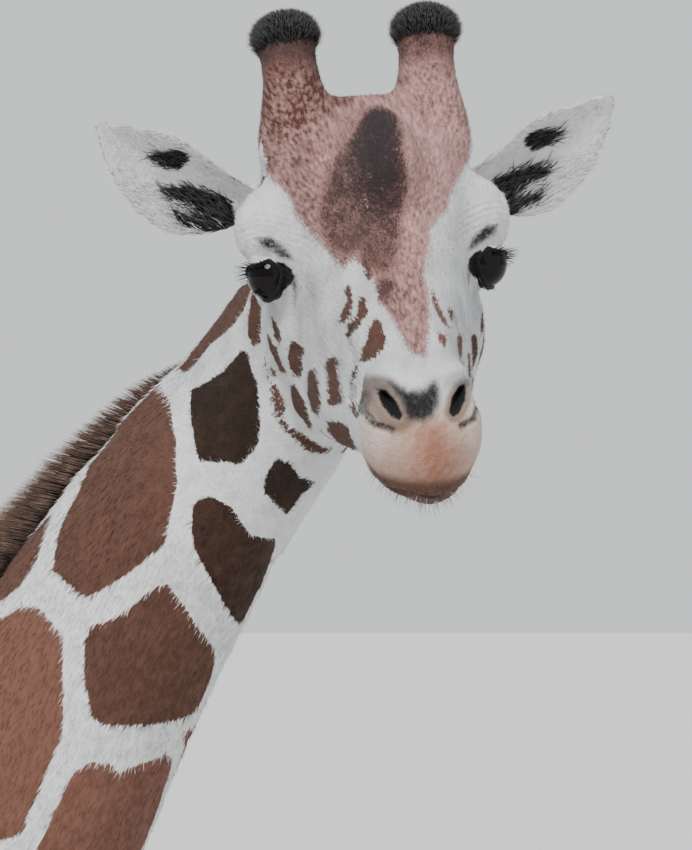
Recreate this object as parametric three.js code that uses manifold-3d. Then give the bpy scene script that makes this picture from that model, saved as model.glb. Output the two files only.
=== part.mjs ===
// A standing reticulated giraffe, life size, in millimetres. +Z is up and +X is the way the body faces.
// The neck rises forward and the head is turned to the animal's right, so the face looks along -Y.
import * as THREE from "three";
import { mergeVertices } from "three/addons/utils/BufferGeometryUtils.js";
import Module from "manifold-3d";

const wasm = await Module();
wasm.setup();

// ---------- driving dimensions ----------
const CUT = 0.3; // clear gap between neighbouring solids
const FLATNESS = 0.2; // how far facets may lie out of one plane and still become one
const EYES_FORWARD = 1170; // from the fore legs' line to the point midway between the eyes
const EYES_RIGHT = 150; // of the trunk's middle plane
const EYE_HEIGHT = 4070;
const HEAD_TURN = 83; // degrees that the head is turned to the animal's right
const HEAD_DROP = 21; // degrees that the nose points below the horizontal
const HEAD_TILT = 3.3; // degrees that the left ear stands higher than the right
const EYE_RADIUS = 22.5;
// In the head's own axes, forward, left and up from midway between the eyes, for the left side:
const EYE_AT = [2, 101, 0];
const EAR_BASE = [-108, 100, 30];
const EAR_TIP = [-139, 248, 109];
const OSSICONE_BASE = [-80, 61, 104];
const OSSICONE_TIP = [-146, 68, 198];
const OSSICONE_CAP = 95; // how far up its axis the black hair of an ossicone begins
const LEGS_BELOW = 1600; // height where the free legs part from the trunk
const SOLE_LENGTH = 225;
const CLAW_WIDTH = 78;
const CLAW_GAP = 7;
const CORONET = 104; // height of the top of the hooves

const NECK_SIDES = 20;
const TRUNK_SIDES = 20;
const HEAD_SIDES = 22;
const LEG_SIDES = 12;

const radians = THREE.MathUtils.degToRad;
const vec = (x, y, z) => new THREE.Vector3(x, y, z);
const mirrored = ([x, y, z]) => [x, -y, z];
const SIDES = [["left", false], ["right", true]];

// ---------- shaping tools ----------
// A smooth curve through [place, value] pairs, flat beyond its ends.
function along(...pairs) {
  const n = pairs.length;
  const rise = (i) => (pairs[i + 1][1] - pairs[i][1]) / (pairs[i + 1][0] - pairs[i][0]);
  const slope = pairs.map((_, i) => {
    if (i === 0 || i === n - 1) return rise(Math.min(i, n - 2));
    return (rise(i - 1) + rise(i)) / 2;
  });
  return (place) => {
    if (place <= pairs[0][0]) return pairs[0][1];
    if (place >= pairs[n - 1][0]) return pairs[n - 1][1];
    let i = 0;
    while (place > pairs[i + 1][0]) i++;
    const span = pairs[i + 1][0] - pairs[i][0];
    const t = (place - pairs[i][0]) / span;
    const [t2, t3] = [t * t, t * t * t];
    return (2 * t3 - 3 * t2 + 1) * pairs[i][1] + (t3 - 2 * t2 + t) * span * slope[i]
      + (3 * t2 - 2 * t3) * pairs[i + 1][1] + (t3 - t2) * span * slope[i + 1];
  };
}

// Evenly spaced numbers from first to last.
const steps = (first, last, count) => Array.from({ length: count }, (_, i) => first + ((last - first) * i) / (count - 1));

// Closed surface through rings of equally many points, with a point at the middle of each end.
function skinOver(rings) {
  const sides = rings[0].length;
  const middle = (ring) => ring.reduce((sum, p) => sum.add(p), vec(0, 0, 0)).divideScalar(sides);
  const points = [...rings.flat(), middle(rings[0]), middle(rings[rings.length - 1])];
  const faces = [];
  const [tail, nose] = [points.length - 2, points.length - 1];
  for (let k = 0; k < sides; k++) {
    const next = (k + 1) % sides;
    faces.push(tail, next, k);
    const last = (rings.length - 1) * sides;
    faces.push(nose, last + k, last + next);
    for (let r = 0; r < rings.length - 1; r++) {
      const [a, b] = [r * sides + k, r * sides + next];
      faces.push(a, b, b + sides, a, b + sides, a + sides);
    }
  }
  const geometry = new THREE.BufferGeometry().setFromPoints(points);
  geometry.setIndex(faces);
  return geometry;
}

// One cross-section: a rounded outline with its own half width, top and bottom, and how square each half is.
// Taper above 0 narrows the top, and grow moves the whole outline outwards.
function section({ at, side, up, width, top, bottom, square = 2, squareLow = square, taper = 0, grow = 0 }, sides) {
  return Array.from({ length: sides }, (_, k) => {
    const turn = (2 * Math.PI * k) / sides;
    const [c, s] = [Math.cos(turn), Math.sin(turn)];
    const power = s > 0 ? square : squareLow;
    const reach = (Math.abs(c) ** power + Math.abs(s) ** power) ** (-1 / power);
    const across = (width + grow) * reach * c * (1 - taper * s);
    const high = ((s > 0 ? top : bottom) + grow) * reach * s;
    return at.clone().addScaledVector(side, across).addScaledVector(up, high);
  });
}

// three.js geometry to a manifold solid, whichever way round its faces are.
function solid(geometry, matrix = new THREE.Matrix4()) {
  const bare = new THREE.BufferGeometry().setAttribute("position", geometry.getAttribute("position").clone());
  if (geometry.index) bare.setIndex(geometry.index.clone());
  const merged = mergeVertices(bare.applyMatrix4(matrix), 1e-3);
  const make = (triVerts) => new wasm.Manifold(
    new wasm.Mesh({ numProp: 3, vertProperties: merged.attributes.position.array, triVerts }));
  const faces = new Uint32Array(merged.index.array);
  const made = make(faces);
  return made.volume() > 0 ? made : make(faces.reverse());
}

// One solid from several, with facets that lie flat within FLATNESS of each other made one.
const joined = (parts) => parts.reduce((whole, part) => whole.add(part)).simplify(FLATNESS);

function ball(centre, radii, grow = 0, matrix = new THREE.Matrix4(), detail = [12, 7]) {
  const place = new THREE.Matrix4().makeTranslation(...centre).scale(vec(...radii.map((r) => r + grow)));
  return solid(new THREE.SphereGeometry(1, ...detail), matrix.clone().multiply(place));
}

const bothSides = (centre, radii, grow, matrix) =>
  [ball(centre, radii, grow, matrix), ball(mirrored(centre), radii, grow, matrix)];

// ---------- head ----------
const HEAD = new THREE.Matrix4().makeTranslation(EYES_FORWARD, -EYES_RIGHT, EYE_HEIGHT)
  .multiply(new THREE.Matrix4().makeRotationAxis(vec(Math.sin(radians(90 - HEAD_TURN)),
    -Math.cos(radians(90 - HEAD_TURN)), 0), radians(HEAD_TILT)))
  .multiply(new THREE.Matrix4().makeRotationZ(radians(-HEAD_TURN)))
  .multiply(new THREE.Matrix4().makeRotationY(radians(HEAD_DROP)));
const inHead = (x, y, z) => vec(x, y, z).applyMatrix4(HEAD);

const headTop = along([-205, 58], [-175, 98], [-130, 130], [-85, 144], [-35, 143], [10, 130], [60, 106], [110, 80],
  [160, 57], [210, 38], [250, 22], [285, 9], [315, -8], [338, -30], [352, -55]);
const headBottom = along([-205, 50], [-175, 82], [-140, 112], [-90, 142], [-40, 154], [10, 156], [60, 152], [110, 140],
  [160, 128], [210, 118], [250, 113], [290, 111], [315, 107], [338, 93], [352, 70]);
const headWidth = along([-205, 56], [-175, 80], [-130, 97], [-85, 103], [-35, 101], [0, 95], [25, 85], [50, 79],
  [90, 74], [130, 69], [170, 62], [210, 56], [245, 53], [285, 58], [312, 56], [335, 43], [352, 18]);
const headSquare = along([-205, 2], [-120, 3], [0, 2.7], [100, 2.3], [200, 2.3], [300, 2.5], [352, 2]);
const headSquareLow = along([-205, 2], [-100, 2.8], [0, 4], [100, 4], [180, 3], [300, 2.6], [352, 2]);
const headTaper = along([-205, 0.1], [-100, 0], [0, 0.02], [90, 0.16], [180, 0.12], [260, 0.04], [300, 0.02], [352, 0]);
const headMiddle = along([-205, 0], [60, 0], [130, -14], [210, -38], [285, -50], [352, -60]);
const HEAD_RINGS = [-205, -192, -170, -140, -108, -75, -40, -8, 18, 42, 70, 105, 140, 175, 210, 240, 266, 290, 312, 330,
  343, 352];

function head(grow = 0) {
  const rings = HEAD_RINGS.map((x) => section({ at: vec(x, 0, headMiddle(x)), side: vec(0, 1, 0), up: vec(0, 0, 1),
    width: headWidth(x), top: headTop(x) - headMiddle(x), bottom: headBottom(x) + headMiddle(x),
    square: headSquare(x), squareLow: headSquareLow(x), taper: headTaper(x), grow }, HEAD_SIDES));
  return joined([
    solid(skinOver(rings), HEAD),
    ...bothSides([-30, 88, 35], [52, 44, 47], grow, HEAD), // brows, above and behind the eyes
    ...bothSides([-32, 62, -68], [98, 45, 70], grow, HEAD), // cheeks
    ...bothSides([-20, 52, -100], [108, 42, 66], grow, HEAD), // jaw angles
    ...bothSides([276, 28, -14], [36, 25, 26], grow, HEAD), // nostril rims
    ball([12, 0, 96], [84, 44, 73], grow, HEAD), // median horn
    ball([296, 0, -62], [52, 57, 50], grow, HEAD), // upper lip
  ]);
}

// The whole horn along its axis, from inside the skull to its blunt end.
const ossiconeEnds = (mirror) => [OSSICONE_BASE, OSSICONE_TIP].map((p) => inHead(...(mirror ? mirrored(p) : p)));

function ossicone(mirror) {
  const [base, tip] = ossiconeEnds(mirror);
  const axis = tip.clone().sub(base);
  const reach = axis.length();
  axis.normalize();
  const side = inHead(0, 1, 0).sub(inHead(0, 0, 0));
  side.addScaledVector(axis, -axis.dot(side)).normalize();
  const up = axis.clone().cross(side);
  const width = along([-20, 46], [0, 44], [35, 35], [60, 29], [84, 28], [reach - 12, 33], [reach + 2, 28], [reach + 10, 15]);
  const rings = [-20, 12, 40, 62, 84, reach - 12, reach + 2, reach + 10].map((far) => section({
    at: base.clone().addScaledVector(axis, far), side, up, width: width(far),
    top: width(far) + 4, bottom: width(far) + 4 }, 11));
  return solid(skinOver(rings));
}

// A leaf-shaped cup that opens forwards, from its round stalk to the tip.
function ear(mirror) {
  const [base, tip] = [EAR_BASE, EAR_TIP].map((p) => vec(...(mirror ? mirrored(p) : p)));
  const out = tip.clone().sub(base);
  const reach = out.length();
  out.normalize();
  const front = vec(1, 0, 0).addScaledVector(out, -out.x).normalize();
  const high = out.clone().cross(front).multiplyScalar(mirror ? 1 : -1);
  const upper = along([-0.16, 20], [0, 15], [0.15, 14], [0.3, 18], [0.5, 26], [0.62, 25], [0.75, 19], [0.9, 12], [1, 6]);
  const lower = along([-0.16, 22], [0, 25], [0.12, 38], [0.25, 58], [0.4, 65], [0.55, 61], [0.7, 50], [0.85, 32], [1, 6]);
  const cup = along([-0.16, 22], [0.05, 26], [0.3, 27], [0.6, 18], [0.85, 8], [1, 2]);
  const wall = along([-0.16, 24], [0.02, 20], [0.16, 11], [0.4, 6.5], [1, 4.5]);
  const arc = steps(-1, 1, 7);
  const rings = [-0.16, 0, 0.12, 0.24, 0.37, 0.5, 0.64, 0.78, 0.9, 1].map((share) => {
    const at = (v, depth) => base.clone().addScaledVector(out, share * reach)
      .addScaledVector(high, v * (v > 0 ? upper(share) : lower(share))).addScaledVector(front, depth);
    const bowl = (v) => -cup(share) * (1 - v * v);
    const inner = arc.map((v) => at(v * 0.96, bowl(v) * 0.92));
    const outer = arc.map((v) => at(v, bowl(v) - wall(share) * (0.35 + 0.65 * (1 - v * v)))).reverse();
    return [...inner, ...outer];
  });
  return solid(skinOver(rings), HEAD);
}

const eyeBall = (mirror, grow = 0) =>
  ball(mirror ? mirrored(EYE_AT) : EYE_AT, Array(3).fill(EYE_RADIUS), grow, HEAD, [14, 9]);

// ---------- neck ----------
// Stations from inside the shoulders to inside the skull: forward, left, up, half depth, half width and the twist
// in degrees that turns the nape to the left as the neck follows the head round.
const POLL = inHead(-112, 0, -8);
const NECK = [
  [40, 0, 2290, 395, 215, 0],
  [110, 0, 2400, 350, 200, 0],
  [330, 0, 2790, 262, 152, 0],
  [600, 0, 3225, 184, 114, 2],
  [833, 0, 3585, 135, 95, 8],
  [907, -4, 3720, 118, 86, 18],
  [998, -14, 3863, 111, 79, 38],
  [1056, -26, 3934, 104, 76, 50],
  [...POLL.toArray(), 80, 80, 78],
];
const neckPath = new THREE.CatmullRomCurve3(NECK.map(([x, y, z]) => vec(x, y, z)), false, "centripetal");
const neckTable = (i) => along(...NECK.map((row, n) => [n, row[i]]));
const [neckDeep, neckWide, neckTwist] = [3, 4, 5].map(neckTable);
const NECK_TOP = NECK.length - 1;

// Where the neck's axis is at a station, with the directions of the nape and the animal's left.
function neckFrame(station) {
  const at = neckPath.getPoint(station / NECK_TOP);
  const ahead = neckPath.getTangent(station / NECK_TOP);
  const up = ahead.clone().cross(vec(0, 1, 0)).normalize().applyAxisAngle(ahead, -radians(neckTwist(station)));
  return { at, ahead, up, side: up.clone().cross(ahead) };
}

function neck(grow = 0) {
  const stations = [0, 0.6, 1.1, 1.55, 2, 2.33, 2.67, 3, 3.33, 3.67, 4, 4.5, 5, 5.5, 6, 6.5, 7, 7.35, 7.7, 8];
  const rings = stations.map((station) => section({ ...neckFrame(station), width: neckWide(station),
    top: neckDeep(station), bottom: neckDeep(station), square: 2.15, taper: 0.12, grow }, NECK_SIDES));
  return solid(skinOver(rings));
}

// The stiff crest of hair along the nape, from the withers to behind the ears.
function mane() {
  const tall = along([1.15, 12], [1.5, 42], [2, 56], [3, 58], [4, 52], [5, 48], [6, 43], [7, 38], [7.5, 28], [7.8, 12]);
  const thick = along([1.15, 8], [1.5, 18], [3, 19], [5, 16], [7, 14], [7.8, 7]);
  const rings = steps(1.15, 7.8, 24).map((station) => {
    const { at, up, side } = neckFrame(station);
    const nape = at.clone().addScaledVector(up, neckDeep(station));
    const [root, crest] = [-14, tall(station)];
    return [[-1, root], [1, root], [0.95, 0.4 * crest], [0.5, crest], [-0.5, crest], [-0.95, 0.4 * crest]]
      .map(([across, high]) => nape.clone().addScaledVector(side, across * thick(station)).addScaledVector(up, high));
  });
  return solid(skinOver(rings));
}

// ---------- trunk ----------
const backLine = along([-1475, 2020], [-1430, 2170], [-1340, 2262], [-1150, 2345], [-850, 2440], [-500, 2560],
  [-220, 2700], [-60, 2765], [90, 2740], [230, 2600], [340, 2380], [395, 2200]);
const bellyLine = along([-1475, 1900], [-1430, 1760], [-1340, 1670], [-1150, 1700], [-900, 1735], [-600, 1680],
  [-300, 1645], [-60, 1650], [90, 1690], [230, 1800], [340, 1940], [395, 2100]);
const ribWidth = along([-1475, 60], [-1430, 125], [-1340, 190], [-1150, 262], [-850, 318], [-500, 342],
  [-220, 316], [-60, 275], [90, 238], [230, 196], [340, 138], [395, 60]);
const trunkTaper = along([-1475, 0.05], [-1100, 0.16], [-600, 0.2], [-200, 0.34], [0, 0.42], [200, 0.3], [395, 0]);

function trunk(grow = 0) {
  const places = [-1475, -1462, -1435, ...steps(-1390, 300, 13), 350, 380, 395];
  const rings = places.map((x) => {
    const [high, low] = [backLine(x), bellyLine(x)];
    const middle = low + (high - low) * 0.46;
    return section({ at: vec(x, 0, middle), side: vec(0, 1, 0), up: vec(0, 0, 1), width: ribWidth(x),
      top: high - middle, bottom: middle - low, square: 2.2, taper: trunkTaper(x), grow }, TRUNK_SIDES);
  });
  return joined([
    solid(skinOver(rings)),
    ...bothSides([60, 130, 2150], [235, 118, 430], grow), // shoulders
    ...bothSides([-1175, 130, 2010], [285, 150, 325], grow), // haunches
    ...bothSides([-985, 178, 1860], [190, 88, 215], grow), // stifles
  ]);
}

// ---------- legs ----------
// Each row is a cross-section: height, forward, outward, half length, half width.
const FORE_LEG = [
  [2050, 45, 165, 165, 70], [1880, 35, 172, 160, 84], [1740, 12, 174, 138, 84], [1640, 0, 172, 112, 80],
  [1520, 4, 166, 88, 70], [1360, 12, 160, 70, 60], [1180, 20, 155, 59, 53], [1060, 26, 152, 58, 53],
  [985, 31, 150, 66, 59], [925, 30, 149, 66, 59], [860, 22, 148, 53, 49], [770, 12, 147, 42, 38], [600, 8, 146, 37, 33],
  [420, 8, 146, 37, 34], [310, 7, 146, 44, 40], [250, 3, 146, 56, 50], [195, 14, 147, 50, 48], [140, 34, 148, 54, 58],
  [CORONET + CUT, 46, 148, 62, 68],
];
const HIND_LEG = [
  [2100, -1160, 150, 250, 90], [1930, -1160, 165, 258, 104], [1780, -1140, 176, 230, 102], [1660, -1135, 180, 192, 92],
  [1540, -1150, 178, 150, 78], [1400, -1190, 172, 112, 64], [1260, -1232, 165, 84, 54], [1150, -1262, 160, 78, 48],
  [1080, -1276, 158, 84, 49], [1010, -1270, 156, 78, 52], [940, -1254, 155, 62, 48], [860, -1242, 153, 48, 41],
  [740, -1234, 152, 41, 35], [560, -1228, 150, 38, 33], [400, -1225, 149, 38, 34], [310, -1226, 148, 45, 40],
  [250, -1230, 148, 56, 49], [195, -1218, 149, 50, 46], [140, -1200, 150, 53, 57], [CORONET + CUT, -1188, 150, 60, 66],
];
const legRows = (name) => (name.startsWith("fore") ? FORE_LEG : HIND_LEG);
const handOf = (name) => (name.endsWith("left") ? 1 : -1);
// How far each foot stands ahead of its place under the body, fading to nothing at the top of the leg.
const STRIDE = { fore_left: 46, fore_right: -38, hind_left: -52, hind_right: 58 };
const LEG_TOP = 1900;
const stride = (name, height) => STRIDE[name] * THREE.MathUtils.clamp((LEG_TOP - height) / (LEG_TOP - 200), 0, 1);

function leg(name, grow = 0) {
  const rings = legRows(name).map(([z, forward, outward, long, wide]) => section({
    at: vec(forward + stride(name, z), handOf(name) * outward, z), side: vec(1, 0, 0), up: vec(0, 1, 0),
    width: long, top: wide, bottom: wide, square: 2.15, grow }, LEG_SIDES));
  return solid(skinOver(rings));
}

// One of a foot's two claws: a flat sole, an upright wall and a sloping front.
function claw(name, inner) {
  const [, forward, outward] = legRows(name).at(-1);
  const hand = handOf(name);
  const middle = hand * outward + (inner ? -hand : hand) * (CLAW_WIDTH + CLAW_GAP) / 2;
  const heel = forward + stride(name, 0) - SOLE_LENGTH * 0.42;
  const level = (z, long, wide, back) => Array.from({ length: 11 }, (_, k) => {
    const turn = (2 * Math.PI * k) / 11;
    const pinch = 1 - 0.3 * Math.max(0, Math.cos(turn)) ** 2;
    return vec(heel + back + (long / 2) * (1 + Math.cos(turn)), middle + (wide / 2) * pinch * Math.sin(turn), z);
  });
  return solid(skinOver([
    level(0, SOLE_LENGTH - 10, CLAW_WIDTH - 6, 3), level(7, SOLE_LENGTH, CLAW_WIDTH, 0),
    level(50, SOLE_LENGTH - 42, CLAW_WIDTH - 3, 6), level(CORONET, SOLE_LENGTH - 95, CLAW_WIDTH - 10, 18)]));
}

// ---------- tail ----------
const TUFT_TOP = 1400;
const TUFT_END = 830;
const TAIL_BACK = -1548;
const tailPath = new THREE.CatmullRomCurve3([vec(-1400, 0, 2200), vec(-1478, 0, 2150), vec(-1530, 0, 2000),
  vec(TAIL_BACK + 3, 0, 1750), vec(TAIL_BACK, 0, 1480), vec(TAIL_BACK, 0, TUFT_TOP)]);

function tail() {
  const thick = along([0, 54], [0.15, 44], [0.5, 25], [1, 17]);
  const rings = steps(0, 1, 11).map((share) => section({ at: tailPath.getPointAt(share), side: vec(0, 1, 0),
    up: vec(0, 1, 0).cross(tailPath.getTangentAt(share)), width: thick(share), top: thick(share), bottom: thick(share) }, 10));
  return solid(skinOver(rings));
}

function tailTuft() {
  const thick = along([0, 20], [0.15, 32], [0.45, 52], [0.75, 46], [1, 16]);
  const rings = steps(0, 1, 8).map((share) => section({
    at: vec(TAIL_BACK, 0, TUFT_TOP - CUT + (TUFT_END - TUFT_TOP) * share), side: vec(1, 0, 0), up: vec(0, 1, 0),
    width: thick(share), top: 0.8 * thick(share), bottom: 0.8 * thick(share) }, 12));
  return solid(skinOver(rings));
}

// ---------- the animal ----------
const material = (colour, roughness) => new THREE.MeshStandardMaterial({ color: colour, roughness, metalness: 0 });
const COAT = material(0x8a4a2e, 0.85);
const FACE = material(0xd9c9bd, 0.85);
const HAIR = material(0x3a241c, 0.8);
const BLACK_HAIR = material(0x14100f, 0.8);
const HORN = material(0x3f3833, 0.55);
const EYE = material(0x0d0a0a, 0.08);

const giraffe = new THREE.Group();

function add(name, shape, finish) {
  const { vertProperties, triVerts, numProp, numVert } = shape.getMesh();
  const points = new Float32Array(numVert * 3);
  for (let i = 0; i < numVert; i++) points.set(vertProperties.subarray(i * numProp, i * numProp + 3), i * 3);
  const geometry = new THREE.BufferGeometry().setAttribute("position", new THREE.BufferAttribute(points, 3));
  geometry.setIndex(new THREE.BufferAttribute(triVerts, 1));
  const mesh = new THREE.Mesh(geometry, finish);
  mesh.name = name;
  giraffe.add(mesh);
}

// A thin cut through a solid: first the piece that the arrow points into, then the rest.
function part(whole, through, arrow) {
  const n = arrow.clone().normalize();
  const far = n.dot(through);
  return [whole.trimByPlane(n.toArray(), far + CUT / 2), whole.trimByPlane(n.clone().negate().toArray(), CUT / 2 - far)];
}

let skull = head();
for (const [side, mirror] of SIDES) {
  skull = skull.subtract(eyeBall(mirror, CUT));
  add(`eye_${side}`, eyeBall(mirror), EYE);
  add(`ear_${side}`, ear(mirror).subtract(head(2 * CUT)), FACE);
  const [base, tip] = ossiconeEnds(mirror);
  const axis = tip.sub(base).normalize();
  const [cap, stem] = part(ossicone(mirror).subtract(head(2 * CUT)), base.addScaledVector(axis, OSSICONE_CAP), axis);
  add(`ossicone_${side}`, stem, COAT);
  add(`ossicone_tuft_${side}`, cap, BLACK_HAIR);
}
add("head", skull, FACE);

const legs = Object.keys(STRIDE);
const body = joined([neck(), trunk(), ...legs.map((name) => leg(name))]).subtract(head(2 * CUT));
let [upper, lower] = part(body, vec(0, 0, LEGS_BELOW), vec(0, 0, 1));
for (const [name, station] of [["neck_upper", 5], ["neck_middle", 3], ["neck_lower", 1.62]]) {
  const { at, ahead } = neckFrame(station);
  const [above, rest] = part(upper, at, ahead);
  add(name, above, COAT);
  upper = rest;
}
const [forequarters, behind] = part(upper, vec(-330, 0, 0), vec(1, 0, 0));
const [barrel, hindquarters] = part(behind, vec(-880, 0, 0), vec(1, 0, 0));
add("forequarters", forequarters, COAT);
add("barrel", barrel, COAT);
add("hindquarters", hindquarters, COAT);

const KNEE = { fore: 890, hind: 975 };
const [foreLegs, hindLegs] = part(lower, vec(-600, 0, 0), vec(1, 0, 0));
for (const name of legs) {
  const pair = name.startsWith("fore") ? foreLegs : hindLegs;
  const [whole] = part(pair, vec(0, 0, 0), vec(0, handOf(name), 0));
  const [thigh, shank] = part(whole, vec(0, 0, KNEE[name.slice(0, 4)]), vec(0, 0, 1));
  add(`leg_${name}_upper`, thigh, COAT);
  add(`leg_${name}_lower`, shank, COAT);
  add(`hoof_${name}_inner`, claw(name, true), HORN);
  add(`hoof_${name}_outer`, claw(name, false), HORN);
}

add("mane", mane().subtract(joined([neck(2 * CUT), trunk(2 * CUT), head(2 * CUT)])), HAIR);
add("tail", tail().subtract(trunk(2 * CUT)), COAT);
add("tail_tuft", tailTuft(), BLACK_HAIR);

// The origin lies on the ground under the middle of the whole outline.
const outline = new THREE.Box3().setFromObject(giraffe, true);
const middle = outline.getCenter(vec(0, 0, 0));
giraffe.position.set(-middle.x, -middle.y, -outline.min.z);

export default giraffe;
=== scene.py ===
"""A standing life-size reticulated giraffe: skin, markings, hair, eyes, hooves, floor, light, camera."""
import math

import bmesh
import bpy
import numpy as np
from mathutils import Matrix, Vector
from mathutils.bvhtree import BVHTree


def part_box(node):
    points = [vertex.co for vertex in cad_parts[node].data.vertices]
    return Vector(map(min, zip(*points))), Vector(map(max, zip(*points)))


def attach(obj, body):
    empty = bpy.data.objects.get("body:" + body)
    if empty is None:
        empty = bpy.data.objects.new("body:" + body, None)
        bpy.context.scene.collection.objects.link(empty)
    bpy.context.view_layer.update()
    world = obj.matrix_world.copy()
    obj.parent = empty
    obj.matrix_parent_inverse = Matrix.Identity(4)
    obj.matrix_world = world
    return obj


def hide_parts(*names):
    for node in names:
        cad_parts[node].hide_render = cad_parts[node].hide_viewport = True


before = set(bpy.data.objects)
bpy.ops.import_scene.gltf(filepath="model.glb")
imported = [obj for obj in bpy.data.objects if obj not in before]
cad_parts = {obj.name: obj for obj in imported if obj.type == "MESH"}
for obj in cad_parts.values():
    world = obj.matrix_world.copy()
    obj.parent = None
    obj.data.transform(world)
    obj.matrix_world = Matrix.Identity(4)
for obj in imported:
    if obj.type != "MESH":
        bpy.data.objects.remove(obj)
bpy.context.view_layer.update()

dice = np.random.default_rng(7)
MM = 0.001
FULL_TURN = 2 * math.pi

# ---------- places on the animal ----------
FLESH_FINE = ["head", "ear_left", "ear_right", "ossicone_left", "ossicone_right", "ossicone_tuft_left",
              "ossicone_tuft_right", "neck_upper", "eye_left", "eye_right"]
FLESH_COARSE = ["neck_upper", "neck_middle", "neck_lower", "forequarters", "barrel", "hindquarters", "tail"]
LEGS = ["fore_left", "fore_right", "hind_left", "hind_right"]
FLESH_COARSE += [f"leg_{leg}_{half}" for leg in LEGS for half in ("upper", "lower")]

EYE_MM = 22.5
EYE_RADIUS = EYE_MM * MM
SIDES = (1, -1)  # the animal's left and right


def middle(node):
    low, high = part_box(node)
    return (Vector(low) + Vector(high)) / 2


# The head's own axes: x forwards along the nose, y to its left, z up, from midway between the eyes.
HEAD_TO_RIGHT, NOSE_DOWN, HEAD_TILT = 83, 21, 3.3  # degrees
TILT_AXIS = (math.sin(math.radians(90 - HEAD_TO_RIGHT)), -math.cos(math.radians(90 - HEAD_TO_RIGHT)), 0)
HEAD_TURN = (Matrix.Rotation(math.radians(HEAD_TILT), 3, TILT_AXIS)
             @ Matrix.Rotation(math.radians(-HEAD_TO_RIGHT), 3, "Z")
             @ Matrix.Rotation(math.radians(NOSE_DOWN), 3, "Y"))
EYES = (middle("eye_left") + middle("eye_right")) / 2 - HEAD_TURN @ Vector((2 * MM, 0, 0))
TURN = np.array(HEAD_TURN)
HEAD_AT = np.array(EYES)


def to_head(points):
    """Points in the head's own axes, in millimetres."""
    return (points - HEAD_AT) @ TURN * 1000


def from_head(points):
    """Points in metres of the shared frame, from millimetres in the head's own axes."""
    return np.asarray(points, float) * MM @ TURN.T + HEAD_AT


# The neck's axis from inside the shoulders to inside the skull, as forward, left, up in millimetres.
NECK_STATIONS = np.array([[40, 0, 2290], [110, 0, 2400], [330, 0, 2790], [600, 0, 3225], [833, 0, 3585],
                          [907, -4, 3720], [998, -14, 3863], [1056, -26, 3934]], float)
NECK_TWIST = [0, 0, 0, 2, 8, 18, 38, 50, 78]  # degrees that the nape is turned aside, at each station
IN_SKULL = (-112, 0, -8)  # the axis' upper end, in the head's own axes
EYES_OF_STATIONS = np.array([1170, -150, 4070])  # where the eyes are for the stations above
STATIONS = np.vstack([NECK_STATIONS + (HEAD_AT * 1000 - EYES_OF_STATIONS), from_head([IN_SKULL]) * 1000])
STATION_FAR = np.concatenate([[0], np.cumsum(np.linalg.norm(np.diff(STATIONS, axis=0), axis=1))])


def neck_axis():
    """Close points along the neck in metres: places, distances along it, directions, napes and lefts."""
    first, last = 2 * STATIONS[0] - STATIONS[1], 2 * STATIONS[-1] - STATIONS[-2]
    ends = np.vstack([first, STATIONS, last])
    points = []
    for p0, p1, p2, p3 in zip(ends, ends[1:], ends[2:], ends[3:]):
        knots = np.cumsum([0] + [np.linalg.norm(b - a) ** 0.5 for a, b in ((p0, p1), (p1, p2), (p2, p3))])
        for t in np.linspace(knots[1], knots[2], 30, endpoint=False):
            def part_way(a, b, i, j):
                return (a * (knots[j] - t) + b * (t - knots[i])) / (knots[j] - knots[i])
            a1, a2, a3 = part_way(p0, p1, 0, 1), part_way(p1, p2, 1, 2), part_way(p2, p3, 2, 3)
            points.append(part_way(part_way(a1, a2, 0, 2), part_way(a2, a3, 1, 3), 1, 2))
    points = np.array(points + [STATIONS[-1]])
    far = np.concatenate([[0], np.cumsum(np.linalg.norm(np.diff(points, axis=0), axis=1))])
    ahead = np.gradient(points, axis=0)
    ahead /= np.linalg.norm(ahead, axis=1, keepdims=True)
    nape = np.cross(ahead, [0, 1, 0])
    nape /= np.linalg.norm(nape, axis=1, keepdims=True)
    return points * MM, far, ahead, nape, np.cross(nape, ahead)


AXIS, AXIS_FAR, AXIS_AHEAD, AXIS_NAPE, AXIS_LEFT = neck_axis()


def axis_at(far):
    """Which of the axis' points is at each distance along it."""
    return np.clip(np.searchsorted(AXIS_FAR, far), 0, len(AXIS) - 1)


def out_of_axis(near, turn):
    """The way out of the neck's axis, at some radians from the nape towards the right."""
    return AXIS_NAPE[near] * np.cos(turn)[:, None] - AXIS_LEFT[near] * np.sin(turn)[:, None]


AT_ONCE = 8000  # points measured together, so that all their distances fit in memory


def neck_chart(points):
    """Millimetres along the neck's axis, degrees from the nape round to its right, and distance out."""
    along, around, away = np.empty(len(points)), np.empty(len(points)), np.empty(len(points))
    for start in range(0, len(points), AT_ONCE):
        rows = slice(start, start + AT_ONCE)
        some = points[rows]
        near = ((some[:, None, :] - AXIS[None]) ** 2).sum(2).argmin(1)
        offset = (some - AXIS[near]) * 1000
        forward = (offset * AXIS_AHEAD[near]).sum(1)
        up = (offset * AXIS_NAPE[near]).sum(1)
        left = (offset * AXIS_LEFT[near]).sum(1)
        along[rows] = AXIS_FAR[near] + forward
        around[rows] = np.degrees(np.arctan2(-left, up))
        away[rows] = np.hypot(up, left)
    return along, around, away


def smooth_step(low, high, values):
    """Rises from 0 at low to 1 at high, or falls where low is the greater."""
    t = np.clip((values - low) / (high - low), 0, 1)
    return t * t * (3 - 2 * t)


def link_in(name, data):
    """A new object of the scene that shows some data, at the origin and unturned."""
    made = bpy.data.objects.new(name, data)
    bpy.context.scene.collection.objects.link(made)
    return made


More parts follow.
